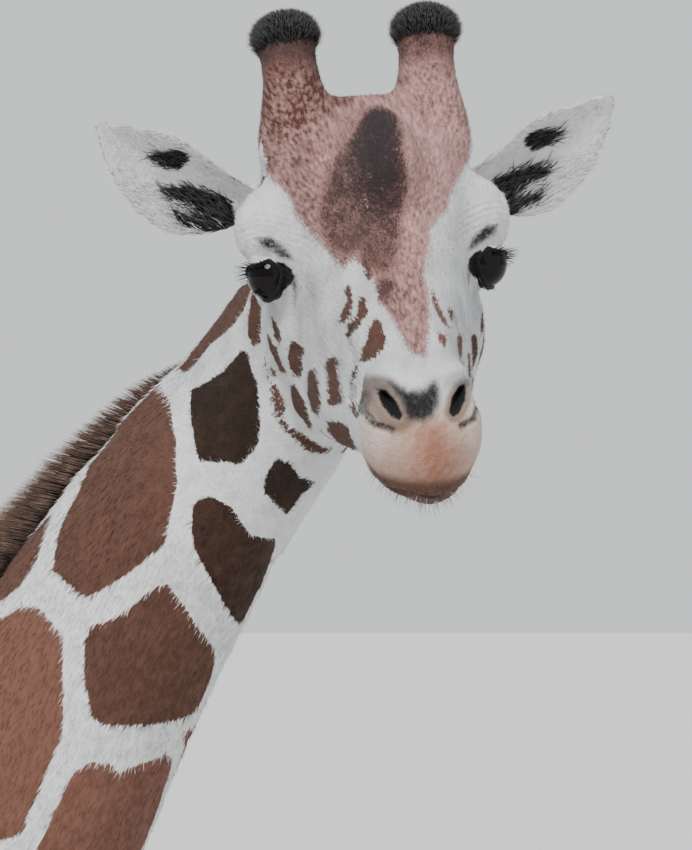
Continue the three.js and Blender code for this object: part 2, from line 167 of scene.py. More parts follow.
# ---------- camera, floor and light ----------
PIXEL = 0.943 * MM  # one pixel of the render, at the eyes
PIXELS_HIGH = 850
PIXELS_TO_MIDDLE = (-31, -155)  # from the eyes to the render's middle, to the right and up
CAMERA_BACK = 10.0
SENSOR = 36
# Each sun's turn in degrees, its strength, and how many degrees wide it is.
LAMPS = [("key", (40, 0, -24), 3.3, 26), ("fill", (66, 0, 50), 0.7, 80)]


def make_camera():
    camera = bpy.data.cameras.new("camera")
    camera.sensor_width = SENSOR
    camera.lens = SENSOR * CAMERA_BACK / (PIXELS_HIGH * PIXEL)
    camera.clip_end = 200
    holder = link_in("camera", camera)
    aside, up = PIXELS_TO_MIDDLE
    holder.location = EYES + Vector((aside * PIXEL, -CAMERA_BACK, up * PIXEL))
    holder.rotation_euler = (math.pi / 2, 0, 0)
    bpy.context.scene.camera = holder


def make_floor():
    bm = bmesh.new()
    bmesh.ops.create_grid(bm, x_segments=2, y_segments=2, size=400)
    mesh = bpy.data.meshes.new("floor")
    bm.to_mesh(mesh)
    bm.free()
    link_in("floor", mesh)
    paint = bpy.data.materials.new("pale_floor")
    paint.use_nodes = True
    shader = paint.node_tree.nodes["Principled BSDF"]
    shader.inputs["Base Color"].default_value = (0.78, 0.78, 0.76, 1)
    shader.inputs["Roughness"].default_value = 0.9
    mesh.materials.append(paint)


def make_light():
    """A soft sky whose backdrop is paler than its light, and two wide suns."""
    world = bpy.data.worlds.new("studio")
    world.use_nodes = True
    shade = world.node_tree
    sky = shade.nodes["Background"]
    sky.inputs["Color"].default_value = (0.86, 0.90, 0.95, 1)
    sky.inputs["Strength"].default_value = 0.62
    backdrop = shade.nodes.new("ShaderNodeBackground")
    backdrop.inputs["Color"].default_value = (0.90, 0.92, 0.93, 1)
    backdrop.inputs["Strength"].default_value = 0.95
    either = shade.nodes.new("ShaderNodeMixShader")
    shade.links.new(shade.nodes.new("ShaderNodeLightPath").outputs["Is Camera Ray"], either.inputs[0])
    shade.links.new(sky.outputs[0], either.inputs[1])
    shade.links.new(backdrop.outputs[0], either.inputs[2])
    shade.links.new(either.outputs[0], shade.nodes["World Output"].inputs["Surface"])
    bpy.context.scene.world = world
    for name, turn, strength, wide in LAMPS:
        sun = bpy.data.lights.new(name, "SUN")
        sun.energy = strength
        sun.angle = math.radians(wide)
        link_in(name, sun).rotation_euler = [math.radians(a) for a in turn]


make_camera()
make_floor()
make_light()


# ---------- skin ----------
EYE_AT = np.array([2.0, 101, 0])  # the left eye's middle, in the head's own axes
FINE_VOXEL, COARSE_VOXEL = 4.5 * MM, 17.4 * MM
SWELL, EAR_SWELL = 0.8 * MM, 2.2 * MM  # thin edges wear away unless they are swollen first
SKIN_JOIN = 1845  # along the neck's axis, where the fine and the coarse part of the skin meet


def voxel_shape(nodes, swell, voxel):
    """One closed surface over some CAD nodes, as a mesh."""
    bm = bmesh.new()
    for node in nodes:
        part = bmesh.new()
        part.from_mesh(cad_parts[node].data)
        bmesh.ops.remove_doubles(part, verts=part.verts, dist=1e-6)
        part.normal_update()
        for vert in part.verts:
            vert.co += vert.normal * (EAR_SWELL if node.startswith("ear") else swell)
        whole = bpy.data.meshes.new("node")
        part.to_mesh(whole)
        part.free()
        bm.from_mesh(whole)
    mesh = bpy.data.meshes.new("rough")
    bm.to_mesh(mesh)
    bm.free()
    rough = link_in("rough", mesh)
    remesh = rough.modifiers.new("remesh", "REMESH")
    remesh.mode = "VOXEL"
    remesh.voxel_size = voxel
    made = bpy.data.meshes.new_from_object(rough.evaluated_get(bpy.context.evaluated_depsgraph_get()))
    bpy.data.objects.remove(rough)
    return made


def points_of(mesh):
    flat = np.empty(len(mesh.vertices) * 3)
    mesh.vertices.foreach_get("co", flat)
    return flat.reshape(-1, 3)


def edges_of(mesh):
    flat = np.empty(len(mesh.edges) * 2, int)
    mesh.edges.foreach_get("vertices", flat)
    return flat.reshape(-1, 2)


def put_points(mesh, points):
    mesh.vertices.foreach_set("co", points.ravel())
    mesh.update()


def relax(mesh, passes):
    """Moves each vertex half way to its neighbours' mean, as many times as passes gives for it."""
    points, edges = points_of(mesh), edges_of(mesh)
    ends = np.concatenate([edges[:, 0], edges[:, 1]])
    others = np.concatenate([edges[:, 1], edges[:, 0]])
    count = np.bincount(ends, minlength=len(points))[:, None]
    for turn in range(int(passes.max())):
        total = np.stack([np.bincount(ends, points[others, i], len(points)) for i in range(3)], 1)
        moving = np.clip(passes - turn, 0, 1)[:, None] * 0.5
        points += (total / count - points) * moving
    put_points(mesh, points)


def normals_of(mesh):
    flat = np.empty(len(mesh.vertices) * 3)
    mesh.vertex_normals.foreach_get("vector", flat)
    return flat.reshape(-1, 3)


def head_and_horns():
    """The head's end of the skin at fine mesh."""
    mesh = voxel_shape(FLESH_FINE, SWELL, FINE_VOXEL)
    points = points_of(mesh)
    local = to_head(points)
    ear = (np.abs(local[:, 1]) > 125) & (local[:, 2] > -5)
    horn = (local[:, 2] > 150) & (local[:, 0] < -60) & (np.abs(local[:, 1]) > 25)
    calm = np.full(len(points), 11.0)
    calm[ear] = 5
    calm[horn] = 7
    behind = smooth_step(-60, -160, local[:, 0] + 0.4 * local[:, 2])
    relax(mesh, calm + 10 * behind * ~ear * ~horn)
    return mesh


def body_and_legs():
    """The rest of the skin at coarse mesh."""
    mesh = voxel_shape(FLESH_COARSE, SWELL, COARSE_VOXEL)
    points = points_of(mesh)
    height = points[:, 2]
    slim = smooth_step(1.75, 1.45, height)
    tail = smooth_step(-1.30, -1.36, points[:, 0]) * (np.abs(points[:, 1]) < 0.08)
    calm = 22 * (1 - slim) + 3 * slim
    calm = np.where(tail > 0.5, 2, calm)
    along, _, away = neck_chart(points)
    on_neck = (along > 700) & (height > 2.8)
    calm = np.where(on_neck, 15, calm)
    relax(mesh, calm)
    # what the smoothing took off the neck's girth is given back
    lost = 560 / np.clip(away, 80, 400) * smooth_step(700, 1100, along) * on_neck
    put_points(mesh, points_of(mesh) + normals_of(mesh) * (lost * MM)[:, None])
    return mesh


def divide_near(bm, places):
    """Halves the edges within reach of some places on the head: (middle, reach), in its millimetres."""
    local = to_head(np.array([v.co[:] for v in bm.verts]))
    near = np.zeros(len(local), bool)
    for at, reach in places:
        near |= np.linalg.norm(local - at, axis=1) < reach
    bm.verts.ensure_lookup_table()
    chosen = [e for e in bm.edges if near[e.verts[0].index] and near[e.verts[1].index]]
    bmesh.ops.subdivide_edges(bm, edges=chosen, cuts=1, use_grid_fill=True)
    bm.verts.index_update()


def join_halves(fine, coarse):
    """Both parts of the skin, each cut off square to the neck's axis, bridged into one closed surface."""
    cut = int(np.searchsorted(AXIS_FAR, SKIN_JOIN))
    through, ahead = Vector(AXIS[cut]), Vector(AXIS_AHEAD[cut])
    bm = bmesh.new()
    for mesh, keep_above in ((fine, True), (coarse, False)):
        part = bmesh.new()
        part.from_mesh(mesh)
        near = part.verts[:] + part.edges[:] + part.faces[:]
        bmesh.ops.bisect_plane(part, geom=near, dist=1e-5, plane_co=through, plane_no=ahead,
                               clear_inner=keep_above, clear_outer=not keep_above)
        made = bpy.data.meshes.new("half")
        part.to_mesh(made)
        part.free()
        bm.from_mesh(made)
    rim = [e for e in bm.edges if e.is_boundary]
    bmesh.ops.bridge_loops(bm, edges=rim)
    bm.verts.index_update()
    return bm


def make_skin():
    """One closed skin, its edges halved once round the eyes, nostrils and lips, and again at the lids."""
    bm = join_halves(head_and_horns(), body_and_legs())
    brows = [((12, side * 94, 24), 58) for side in SIDES]
    nostrils = [((312, side * 26, -25), 27) for side in SIDES]
    divide_near(bm, brows + nostrils + [((335, 0, -88), 30)])
    divide_near(bm, [((5, side * 99, 8), 39) for side in SIDES])
    bmesh.ops.recalc_face_normals(bm, faces=bm.faces)
    mesh = bpy.data.meshes.new("skin")
    bm.to_mesh(mesh)
    bm.free()
    return mesh


# ---------- the head's folds, lids, nostrils and mouth ----------
def line_distance(line, points):
    """How far each point is from a line of places, in any number of axes."""
    line = np.asarray(line, float)
    nearest = np.full(len(points), np.inf)
    for a, b in zip(line, line[1:]):
        t = np.clip((points - a) @ (b - a) / ((b - a) @ (b - a)), 0, 1)
        nearest = np.minimum(nearest, np.linalg.norm(points - a - t[:, None] * (b - a), axis=1))
    return nearest


def rise_at(value, centre, width, high):
    """A rounded rise as high as given, where a value is near a middle value."""
    return high * np.exp(-((value - centre) / width) ** 2)


def depth_in(outline, across, up):
    """How far inside an outline each place is; negative outside."""
    nearest, inside = np.full(len(across), np.inf), np.zeros(len(across), bool)
    ring = np.array(outline, float)
    for (ax, ay), (bx, by) in zip(ring, np.roll(ring, -1, axis=0)):
        dx, dy = bx - ax, by - ay
        t = np.clip(((across - ax) * dx + (up - ay) * dy) / (dx * dx + dy * dy), 0, 1)
        nearest = np.minimum(nearest, np.hypot(across - ax - t * dx, up - ay - t * dy))
        if dy:
            inside ^= ((ay > up) != (by > up)) & (across < ax + (up - ay) * dx / dy)
    return np.where(inside, nearest, -nearest)


def face_front(local):
    """The head's own left, and up square to a level view of the face."""
    return local[:, 1], -0.358 * local[:, 0] + 0.934 * local[:, 2]


LID_INNER, LID_OUTER, LID_TOP, LID_BOTTOM = 78, 64, 42, 52  # degrees from the middle of the opening


def gaze_of(side):
    """The way an eye looks, in the head's own axes."""
    gaze = np.array([0.45, side * 0.88, -0.1])
    return gaze / np.linalg.norm(gaze)


def eye_opening(local, side):
    """How far inside the lids' opening each point is, then where it is seen from the eye's middle.

    That is its distance, its way, and how many degrees it lies above and in front of the gaze.
    """
    gaze = gaze_of(side)
    front = np.array([1, 0, 0]) - gaze * gaze[0]
    front /= np.linalg.norm(front)
    up = np.cross(gaze, front)
    up *= np.sign(up[2])
    offset = local - EYE_AT * (1, side, 1)
    far = np.linalg.norm(offset, axis=1) + 1e-9
    turn = np.degrees(np.arctan2(offset @ front, offset @ gaze)) - 6
    rise = np.degrees(np.arcsin(np.clip(offset @ up / far, -1, 1))) - 0.35 * turn
    out = np.abs(turn) / np.where(turn > 0, LID_INNER, LID_OUTER)
    top = LID_TOP * (1 - np.clip(out, 0, 2) ** 4.0) - rise
    bottom = rise + LID_BOTTOM * (1 - np.clip(out, 0, 2) ** 3.5)
    return np.minimum(top, bottom) * math.radians(EYE_MM), far, offset / far[:, None], rise, turn


# On the head's right side, as seen from the front; the mouth is on its left, in the head's own axes.
NOSTRIL = [(-41, -111), (-34, -113), (-26, -123), (-22, -136), (-25, -140), (-31, -137), (-38, -126)]
MOUTH = [(346, 0, -88), (338, 22, -92), (310, 40, -97), (270, 49, -100), (230, 52, -100)]
CHEEK_FOLD = [(-49, -47), (-51, -66), (-48, -81), (-51, -104), (-53, -118)]
NOSE_FOLD = [(-50, -116), (-53, -130), (-46, -143), (-32, -149)]


def droop(local):
    """The lips hang lower at their middle, and the muzzle narrows towards them."""
    lips = smooth_step(262, 305, local[:, 0]) * smooth_step(-50, -90, local[:, 2])
    drop = 10.0 * lips * np.exp(-((local[:, 1] - 8) / 27) ** 2)
    return np.stack([local[:, 0], local[:, 1] * (1 - 0.10 * lips), local[:, 2] - drop], 1)


def brow_folds(left, high, ahead, side):
    """Folds of loose skin over the brow."""
    ring = np.hypot(left - side * 109, high + 10)
    angle = np.degrees(np.arctan2(high + 10, -side * (left - side * 109)))
    on = smooth_step(42, 50, ring) * smooth_step(76, 66, ring) * smooth_step(4, 22, angle)
    on *= smooth_step(125, 100, angle) * (ahead > -75)
    return 0.75 * on * np.sin(2 * math.pi * (ring + 1.6 * np.sin(angle / 9)) / 5.6)


def muzzle_folds(local, left, high, side):
    """The creases of the cheek and behind the muzzle, and the lips' edge."""
    plan = np.stack([left * -side, high], 1)
    fold = line_distance(CHEEK_FOLD, plan) + 99 * (local[:, 0] <= 120)
    crease = line_distance(NOSE_FOLD, plan) + 99 * (local[:, 0] < 255)
    lips = line_distance(np.array(MOUTH) * (1, side, 1), local)
    return (rise_at(crease, 6, 3, 0.9) - rise_at(fold, 0, 3.4, 2.6) - rise_at(crease, 0, 2.6, 2.2)
            + rise_at(lips, 7, 3.5, 1.5) - rise_at(lips, 0, 2.6, 4.5))


def open_lids(local, side):
    """Moves the skin round an eye out to its lids and their folds, or behind the eye inside them."""
    inside, far, way, rise, _ = eye_opening(local, side)
    over, under = smooth_step(5, 20, rise), smooth_step(-10, -30, rise)
    edge = 2.7 * (1 - np.exp(inside / 1.3))
    lid = EYE_MM + np.where(inside < 0, edge, -3.2 * smooth_step(0, 1.8, inside))
    lid -= rise_at(inside, -8.5, 1.5, 1.5) * over
    lid += rise_at(inside, -11.5, 2, 1.2) * over
    lid -= rise_at(inside, -6, 1.3, 0.9) * under
    reach = np.maximum(smooth_step(-7, -17, inside), smooth_step(28, 38, far))
    moved = EYE_AT * (1, side, 1) + way * (lid * (1 - reach) + far * reach)[:, None]
    return np.where((far < 62)[:, None], moved, local)


def shape_head(mesh):
    """Folds, nostrils, lips and lids, worked into the skin of the head."""
    points = points_of(mesh)
    chosen = np.nonzero(np.linalg.norm(points - HEAD_AT, axis=1) < 0.45)[0]
    local = to_head(points[chosen])
    outward = normals_of(mesh)[chosen] @ TURN
    left, high = face_front(local)
    push = np.zeros(len(local))
    for side in SIDES:
        push += brow_folds(left, high, local[:, 0], side) + muzzle_folds(local, left, high, side)
        hole = depth_in(NOSTRIL, left * -side, high) - 99 * (local[:, 0] < 262)
        push += rise_at(hole, -3, 2.6, 1.8)
        local += np.array([-17, 0, 3]) * smooth_step(-0.5, 6.5, hole)[:, None]
    local = droop(local + outward * push[:, None])
    for side in SIDES:
        local = open_lids(local, side)
    points[chosen] = from_head(local)
    put_points(mesh, points)


# ---------- markings ----------
# How light each patch is, and its outline on the neck's right side: millimetres along, and degrees round.
# The three darkest, under the head, are their own dark brown made darker still by painted shade.
NECK_PATCHES = [
    (0.35, [(1990, -22), (2033, -4), (2046, 28), (2022, 36), (2001, 34), (1971, 16), (1931, 10),
            (1923, -10), (1962, -19)]),
    (0.32, [(2040, 34), (2033, 54), (2001, 69), (1996, 63), (2002, 55), (2016, 46)]),
    (0.0, [(1987, 57), (1988, 63), (1966, 82), (1947, 92), (1925, 101), (1904, 101), (1878, 81), (1902, 51),
            (1920, 32), (1959, 52)]),
    (0.48, [(1891, -16), (1893, 23), (1873, 59), (1846, 79), (1789, 94), (1748, 84), (1704, 71), (1708, 37),
            (1743, 21), (1789, 11), (1808, -7), (1848, -13)]),
    (0.02, [(1925, 113), (1927, 120), (1923, 132), (1924, 145), (1910, 141), (1892, 142), (1897, 120),
            (1907, 115)]),
    (0.13, [(1840, 93), (1858, 99), (1864, 112), (1848, 129), (1863, 145), (1817, 162), (1753, 160),
            (1772, 135), (1804, 106)]),
    (0.45, [(1753, 100), (1758, 107), (1738, 130), (1725, 149), (1704, 159), (1661, 164), (1619, 127),
            (1602, 109), (1664, 84), (1681, 79), (1700, 90), (1727, 98)]),
    (0.85, [(1644, 23), (1671, 37), (1672, 48), (1661, 70), (1623, 83), (1584, 97), (1554, 98), (1477, 104),
            (1440, 88), (1425, 50), (1500, 22), (1580, 12)]),
    (0.88, [(1555, 111), (1569, 116), (1577, 127), (1569, 133), (1585, 136), (1606, 151), (1605, 162),
            (1520, 172), (1455, 165), (1430, 130), (1475, 114), (1539, 111)]),
    (0.50, [(1754, 2), (1707, 22), (1677, 22), (1640, 10), (1600, -6), (1640, -20), (1715, -14)]),
]
# Outlines on the cheek: degrees round the head, and height square to a level view of the face.
CHEEK_SPOTS = [
    [(-62, -38), (-55, -45), (-49, -56), (-49, -66), (-54, -59), (-58, -48)],
    [(-67, -53), (-59, -59), (-52, -69), (-49, -80), (-45, -93), (-51, -92), (-55, -80), (-62, -67)],
    [(-67, -72), (-65, -79), (-61, -99), (-62, -98), (-65, -84)],
    [(-61, -85), (-57, -90), (-57, -96), (-60, -95)],
    [(-42, -63), (-38, -63), (-30, -73), (-35, -79), (-33, -86), (-35, -97), (-40, -95), (-43, -80)],
    [(-29, -92), (-24, -89), (-22, -99), (-21, -123), (-24, -136), (-29, -129), (-30, -113)],
    [(-19, -82), (-16, -79), (-14, -85), (-15, -91), (-14, -100), (-13, -124), (-18, -126), (-18, -103)],
    [(-60, -101), (-56, -105), (-51, -124), (-51, -133), (-53, -132), (-56, -122)],
    [(-44, -104), (-40, -103), (-33, -120), (-32, -134), (-32, -143), (-38, -150), (-37, -139),
     (-45, -126)],
    [(-59, -114), (-55, -129), (-48, -145), (-44, -150), (-38, -168), (-39, -172), (-43, -169), (-47, -156),
     (-52, -143), (-56, -128)],
    [(-19, -139), (-14, -140), (-11, -146), (-10, -166), (-13, -172), (-17, -160), (-20, -148)],
    [(-26, -148), (-20, -157), (-15, -170), (-17, -176), (-23, -167), (-28, -157)],
]
# Outlines on the face's front: left of its middle, and height.
FACE_SPOTS = {-1: [
    [(-49, -13), (-44, -11), (-44, -22), (-45, -34), (-50, -46), (-57, -49), (-54, -37), (-48, -29)],
    [(-39, -25), (-33, -28), (-34, -40), (-41, -50), (-50, -63), (-53, -63), (-51, -54), (-45, -45),
     (-41, -34)],
    [(-30, -46), (-26, -48), (-24, -67), (-28, -75), (-40, -85), (-47, -86), (-43, -74), (-37, -57)],
    [(-55, -125), (-53, -118), (-52, -138), (-54, -132)],
    [(-52, -96), (-48, -87), (-50, -103), (-53, -106)],
], 1: [
    [(28, -16), (31, -30), (34, -44), (40, -60), (32, -54), (26, -38)],
    [(42, -39), (48, -45), (45, -53), (41, -48)],
    [(52, -59), (56, -69), (50, -90), (46, -79)],
    [(25, -59), (34, -68), (30, -78), (24, -69)],
]}
MAUVE_SPOTS = [[(-23, -13), (-16, -7), (-5, -12), (-10, -28), (-16, -35), (-25, -30), (-25, -22)],
               [(-33, 15), (-24, 13), (-24, -6), (-27, -15), (-32, -7), (-34, 5)]]
RUST = [(-150, 112), (-98, 98), (-83, 72), (-74, 45), (-63, 30), (-56, 14), (-47, 0), (-39, 10), (-33, 2),
        (-23, -8), (-24, -32), (-14, -47), (-12, -62), (-4, -82), (8, -84), (19, -50), (23, -26), (24, -3),
        (30, 11), (39, 36), (52, 46), (63, 57), (72, 75), (95, 98), (150, 112), (150, 400), (-150, 400)]
BLAZE = [(-13, 150), (3, 156), (20, 152), (24, 134), (20, 105), (22, 80), (17, 50), (8, 22), (-4, -2),
         (-14, -10), (-28, 1), (-34, 14), (-47, 12), (-58, 24), (-64, 40), (-62, 62), (-54, 86),
         (-42, 110), (-27, 131)]
BROW_MARK = [(-114, 37), (-101, 35), (-89, 25), (-83, 14), (-90, 16), (-100, 22), (-111, 28)]
EYE_CORNER = [(-98, 14), (-90, 11), (-84, 5), (-82, -3), (-85, -9), (-91, -14), (-98, -12)]
TEAR_MARK = [(-87, 4), (-80, 0), (-79, -12), (-82, -30), (-84, -18)]
NOSE_DARK = [(-29, -106), (-14, -114), (0, -115), (13, -106), (15, -118), (11, -130), (4, -140), (-6, -143),
             (-16, -139), (-20, -124)]
# Black hair inside an ear: out along it from its base, and up across it.
EAR_BLACK = [[(82, 15), (97, 7), (112, -6), (98, -10), (80, -8), (76, 6)],
             [(88, -31), (67, -18), (45, -13), (22, -12), (8, -27), (27, -36), (55, -33), (75, -35)],
             [(68, -45), (42, -36), (12, -30), (26, -44), (52, -51)]]
# The left ear's and the left ossicone's ends, in the head's own axes.
EAR_BASE, EAR_TIP = np.array([-108.0, 100, 30]), np.array([-139.0, 248, 109])
HORN_BASE, HORN_TIP = np.array([-80.0, 61, 104]), np.array([-146.0, 68, 198])
PAST_HORN, ROUND_HORN = 170, 70  # no point of an ossicone is as far up or out as this
ROUND_EAR = 85


NECK_DEGREE, CHEEK_DEGREE = 2.1, 1.9  # millimetres round the neck and the cheek, to a degree


def ear_chart(local, side):
    """Distance out along an ear, up across it and forward of it, in millimetres, with the ear's own way."""
    base, tip = EAR_BASE * (1, side, 1), EAR_TIP * (1, side, 1)
    out = (tip - base) / np.linalg.norm(tip - base)
    front = np.array([1, 0, 0]) - out * out[0]
    front /= np.linalg.norm(front)
    high = np.cross(out, front) * -side
    offset = local - base
    return offset @ out, offset @ high, offset @ front, out


def horn_chart(local, side):
    """Distance up an ossicone and away from its axis, in millimetres, with the way of that axis."""
    base, tip = HORN_BASE * (1, side, 1), HORN_TIP * (1, side, 1)
    up = (tip - base) / np.linalg.norm(tip - base)
    offset = local - base
    far = offset @ up
    return far, np.linalg.norm(offset - far[:, None] * up, axis=1), up


def on_ear(local, side, aside, outward, reach=ROUND_EAR):
    """Whether each point is on an ear, past some distance from the head's middle and from the ear's base."""
    out, across, ahead, _ = ear_chart(local, side)
    return (side * local[:, 1] > aside) & (out > outward) & (np.hypot(across, ahead) < reach)


def on_cap(local, side, low, high):
    """1 on an ossicone's dark cap, rising from 0 between two distances up it."""
    up, aside, _ = horn_chart(local, side)
    return smooth_step(low, high, up) * (aside < ROUND_HORN) * (up < PAST_HORN)


def share_on_head(local):
    near = smooth_step(360, 250, np.linalg.norm(local - (100, 0, 0), axis=1))
    return near * smooth_step(-150, -95, local[:, 0] + 0.35 * local[:, 2])


def share_on_legs(points):
    return smooth_step(1.75, 1.3, points[:, 2])


def wander(points, size, seed, count=5):
    """Smooth random wandering between about -1 and 1, with waves about size metres long."""
    rng = np.random.default_rng(seed)
    total = np.zeros(len(points))
    for _ in range(count):
        way = rng.normal(size=3)
        way /= np.linalg.norm(way)
        total += np.sin(points @ way * 2 * math.pi / (size * rng.uniform(0.7, 1.4)) + rng.uniform(0, 6.28))
    return total / count * 1.4


def spread(points, gap, order, kept=None):
    """Picks well-spaced places: each at least its own gap from the ones before it."""
    chosen = np.empty((0, 3)) if kept is None else kept
    numbers = []
    for i in order:
        if not len(chosen) or ((chosen - points[i]) ** 2).sum(1).min() > gap[i] ** 2:
            chosen = np.vstack([chosen, points[i]])
            numbers.append(i)
    return chosen, np.array(numbers)


def body_gap(points, local):
    """How far apart the middles of the patches are, in metres."""
    height = points[:, 2]
    gap = 0.13 + 0.085 * smooth_step(0.7, 2.0, height)
    gap = np.where(height > 2.6, 0.215 - 0.05 * smooth_step(3.2, 4.0, height), gap)
    near_head = np.linalg.norm(local, axis=1) < 330
    return np.where(near_head, 0.085, gap)


def deeper(depth, tone, chosen, inside, light):
    """Takes a patch into account: where some chosen points are further inside it than inside any before."""
    better = inside > depth[chosen]
    depth[chosen[better]] = inside[better]
    tone[chosen[better]] = light


def patch_depths(points, local, along, around):
    """How far inside a drawn patch each point is, in mm, and how light that patch is."""
    depth, tone = np.full(len(points), -99.0), np.full(len(points), 0.5)
    turned = np.where(around < -120, around + 360, around)
    on_neck = (along > 1380) & (along < 2075) & ((local[:, 0] < 10) | (along < 1950))
    chosen = np.nonzero(on_neck)[0]
    for light, outline in NECK_PATCHES:
        ring = [(far, degrees * NECK_DEGREE) for far, degrees in outline]
        deeper(depth, tone, chosen, depth_in(ring, along[chosen], turned[chosen] * NECK_DEGREE), light)
    left, high = face_front(local)
    spin = np.degrees(np.arctan2(left, local[:, 0] + 60))
    head = np.nonzero((np.linalg.norm(local, axis=1) < 420) & (local[:, 0] > -110) & (high < 20))[0]
    for side in (-1, 1):
        for number, outline in enumerate(CHEEK_SPOTS):
            ring = [(degrees * CHEEK_DEGREE, up) for degrees, up in outline]
            lower = 3 if side > 0 else 0
            inside = depth_in(ring, spin[head] * -side * CHEEK_DEGREE, high[head] + lower)
            deeper(depth, tone, head, inside - 99 * (local[head, 0] > 200), 0.28 + 0.05 * (number % 4))
        for outline in FACE_SPOTS[side]:
            inside = depth_in(outline, left[head], high[head]) - 99 * (local[head, 0] < 100)
            # Spots on the face's right are made darker than those on its left, as painted shade on that
            # side.
            deeper(depth, tone, head, inside, 0.36 if side < 0 else 0.75)
    return depth, tone


def body_patches(points, local, along, around, depth, tone):
    """Adds the rest of the body's patches: cells parted by pale lines, clear of the ones already drawn."""
    bent = points + 0.016 * np.stack([wander(points, 0.17, 11 + i) for i in range(3)], 1)
    face = (local[:, 0] > -60) & (np.linalg.norm(local, axis=1) < 450)
    drawn, _ = spread(points, np.full(len(points), 0.045), dice.permutation(np.nonzero(depth > 6)[0])[:700])
    order = dice.permutation(len(points))[:9000]
    order = order[(depth[order] < -55) & ~face[order]]
    seeds, _ = spread(bent, body_gap(points, local), order, drawn)
    seeds = seeds[len(drawn):]
    light = dice.uniform(0.3, 0.8, len(seeds))
    gap_width = 34 - 12 * smooth_step(1.9, 1.0, points[:, 2])
    gap_width = np.where(np.linalg.norm(local, axis=1) < 330, 17, gap_width)
    between = (along > 1640) & (along < 1990) & (around > -8) & (around < 150) & (points[:, 2] > 3)
    for start in range(0, len(points), AT_ONCE):
        some = slice(start, start + AT_ONCE)
        spot = bent[some]
        away = ((spot[:, None, :] - seeds[None]) ** 2).sum(2)
        first = away.argmin(1)
        nearest = away[np.arange(len(spot)), first]
        apart = np.linalg.norm(seeds[first][:, None, :] - seeds[None], axis=2)
        beyond = (away - nearest[:, None]) / (2 * np.maximum(apart, 1e-6))
        beyond[np.arange(len(spot)), first] = np.inf
        cell = beyond.min(1) * 1000 - gap_width[some] / 2
        cell = np.minimum(cell, np.maximum(-depth[some] - 24, -60))
        cell = np.where(face[some] | between[some], -50, cell)
        height = points[some][:, 2]
        cell -= 16 * smooth_step(0.75, 0.25, height) + 26 * smooth_step(0.42, 0.12, height)
        better = cell > depth[some]
        depth[some] = np.where(better, cell, depth[some])
        tone[some] = np.where(better, light[first], tone[some])
    return depth, tone


# Colours of the hair between the patches, of the bare nose and lips, and of the lower legs.
PALE = np.array([0.80, 0.80, 0.80, 1])
# Grey of the painted shade on the face's sides.
FACE_SHADE_GREY = np.array([0.40, 0.40, 0.415, 1])
LIP_CREAM = np.array([0.66, 0.54, 0.47, 1])
LIP_TAN = np.array([0.44, 0.225, 0.15, 1])
LIP_RED = np.array([0.27, 0.10, 0.065, 1])
LIP_BROWN = np.array([0.085, 0.04, 0.025, 1])
NOSE_OCHRE = np.array([0.21, 0.135, 0.095, 1])
NOSE_SLATE = np.array([0.075, 0.072, 0.082, 1])
LEG_TAN = np.array([0.62, 0.50, 0.38, 1])
UNDER_HOOF = np.array([0.25, 0.17, 0.11, 1])


def blend(colours, other, share):
    """Turns some colours, in place, towards another by a share between 0 and 1."""
    colours += (other - colours) * np.clip(share, 0, 1)[:, None]


def dark_marks(local, normals, left, high, facing):
    """Black and grey hair round the lids, on the brows and nose, and inside the ears, with painted shade in
    the nostrils, along the mouth's line and in the creases of the cheek and nose.
    """
    black_and_shade = np.zeros(len(local))
    for side in SIDES:
        out, across, _, _ = ear_chart(local, side)
        inner = on_ear(local, side, 96, 2) & ((normals @ TURN)[:, 0] > 0.15)
        for outline in EAR_BLACK:
            black_and_shade = np.maximum(black_and_shade, inner * smooth_step(-3, 3, depth_in(outline, out, across)))
        black_and_shade = np.maximum(black_and_shade, 0.9 * inner * smooth_step(26, 8, out) * smooth_step(-4, -20, across))
        opening, far, _, rise, turn = eye_opening(local, side)
        rim = 2.6 + 4.9 * smooth_step(5, -25, rise)
        rim += 3.5 * smooth_step(30, 72, turn) + 2.5 * smooth_step(-30, -64, turn)
        black_and_shade = np.maximum(black_and_shade, smooth_step(33, 29, far) * smooth_step(-rim - 2.0, -rim + 0.5, opening))
        aside = left * -side
        plan = np.stack([aside, high], 1)
        nose = facing * (local[:, 0] > 250)
        by_eye = facing * smooth_step(44, 38, far)
        for mark in (
                0.72 * facing * smooth_step(-7, 4, depth_in(BROW_MARK, aside, high)),
                0.55 * facing * smooth_step(-4, 3, depth_in(TEAR_MARK, aside, high)),
                0.95 * by_eye * smooth_step(-2, 2, depth_in(EYE_CORNER, aside, high)),
                # The nostrils' openings, the creases of the cheek and nose and the mouth's line are darkened
                # here as painted shade.
                nose * smooth_step(-2.5, 1.5, depth_in(NOSTRIL, aside, high)),
                0.45 * (local[:, 0] > 120) * facing * smooth_step(5, 1, line_distance(CHEEK_FOLD, plan)),
                0.62 * nose * smooth_step(6.5, 1.5, line_distance(NOSE_FOLD, plan)),
                0.9 * smooth_step(5.5, 1.5, line_distance(droop(np.array(MOUTH) * (1.0, side, 1)), local)),
                on_cap(local, side, 84, 97)):
            black_and_shade = np.maximum(black_and_shade, mark)
    on_nose = facing * (local[:, 0] > 240)
    return np.maximum(black_and_shade, 0.72 * on_nose * smooth_step(-9, 6, depth_in(NOSE_DARK, left, high)))


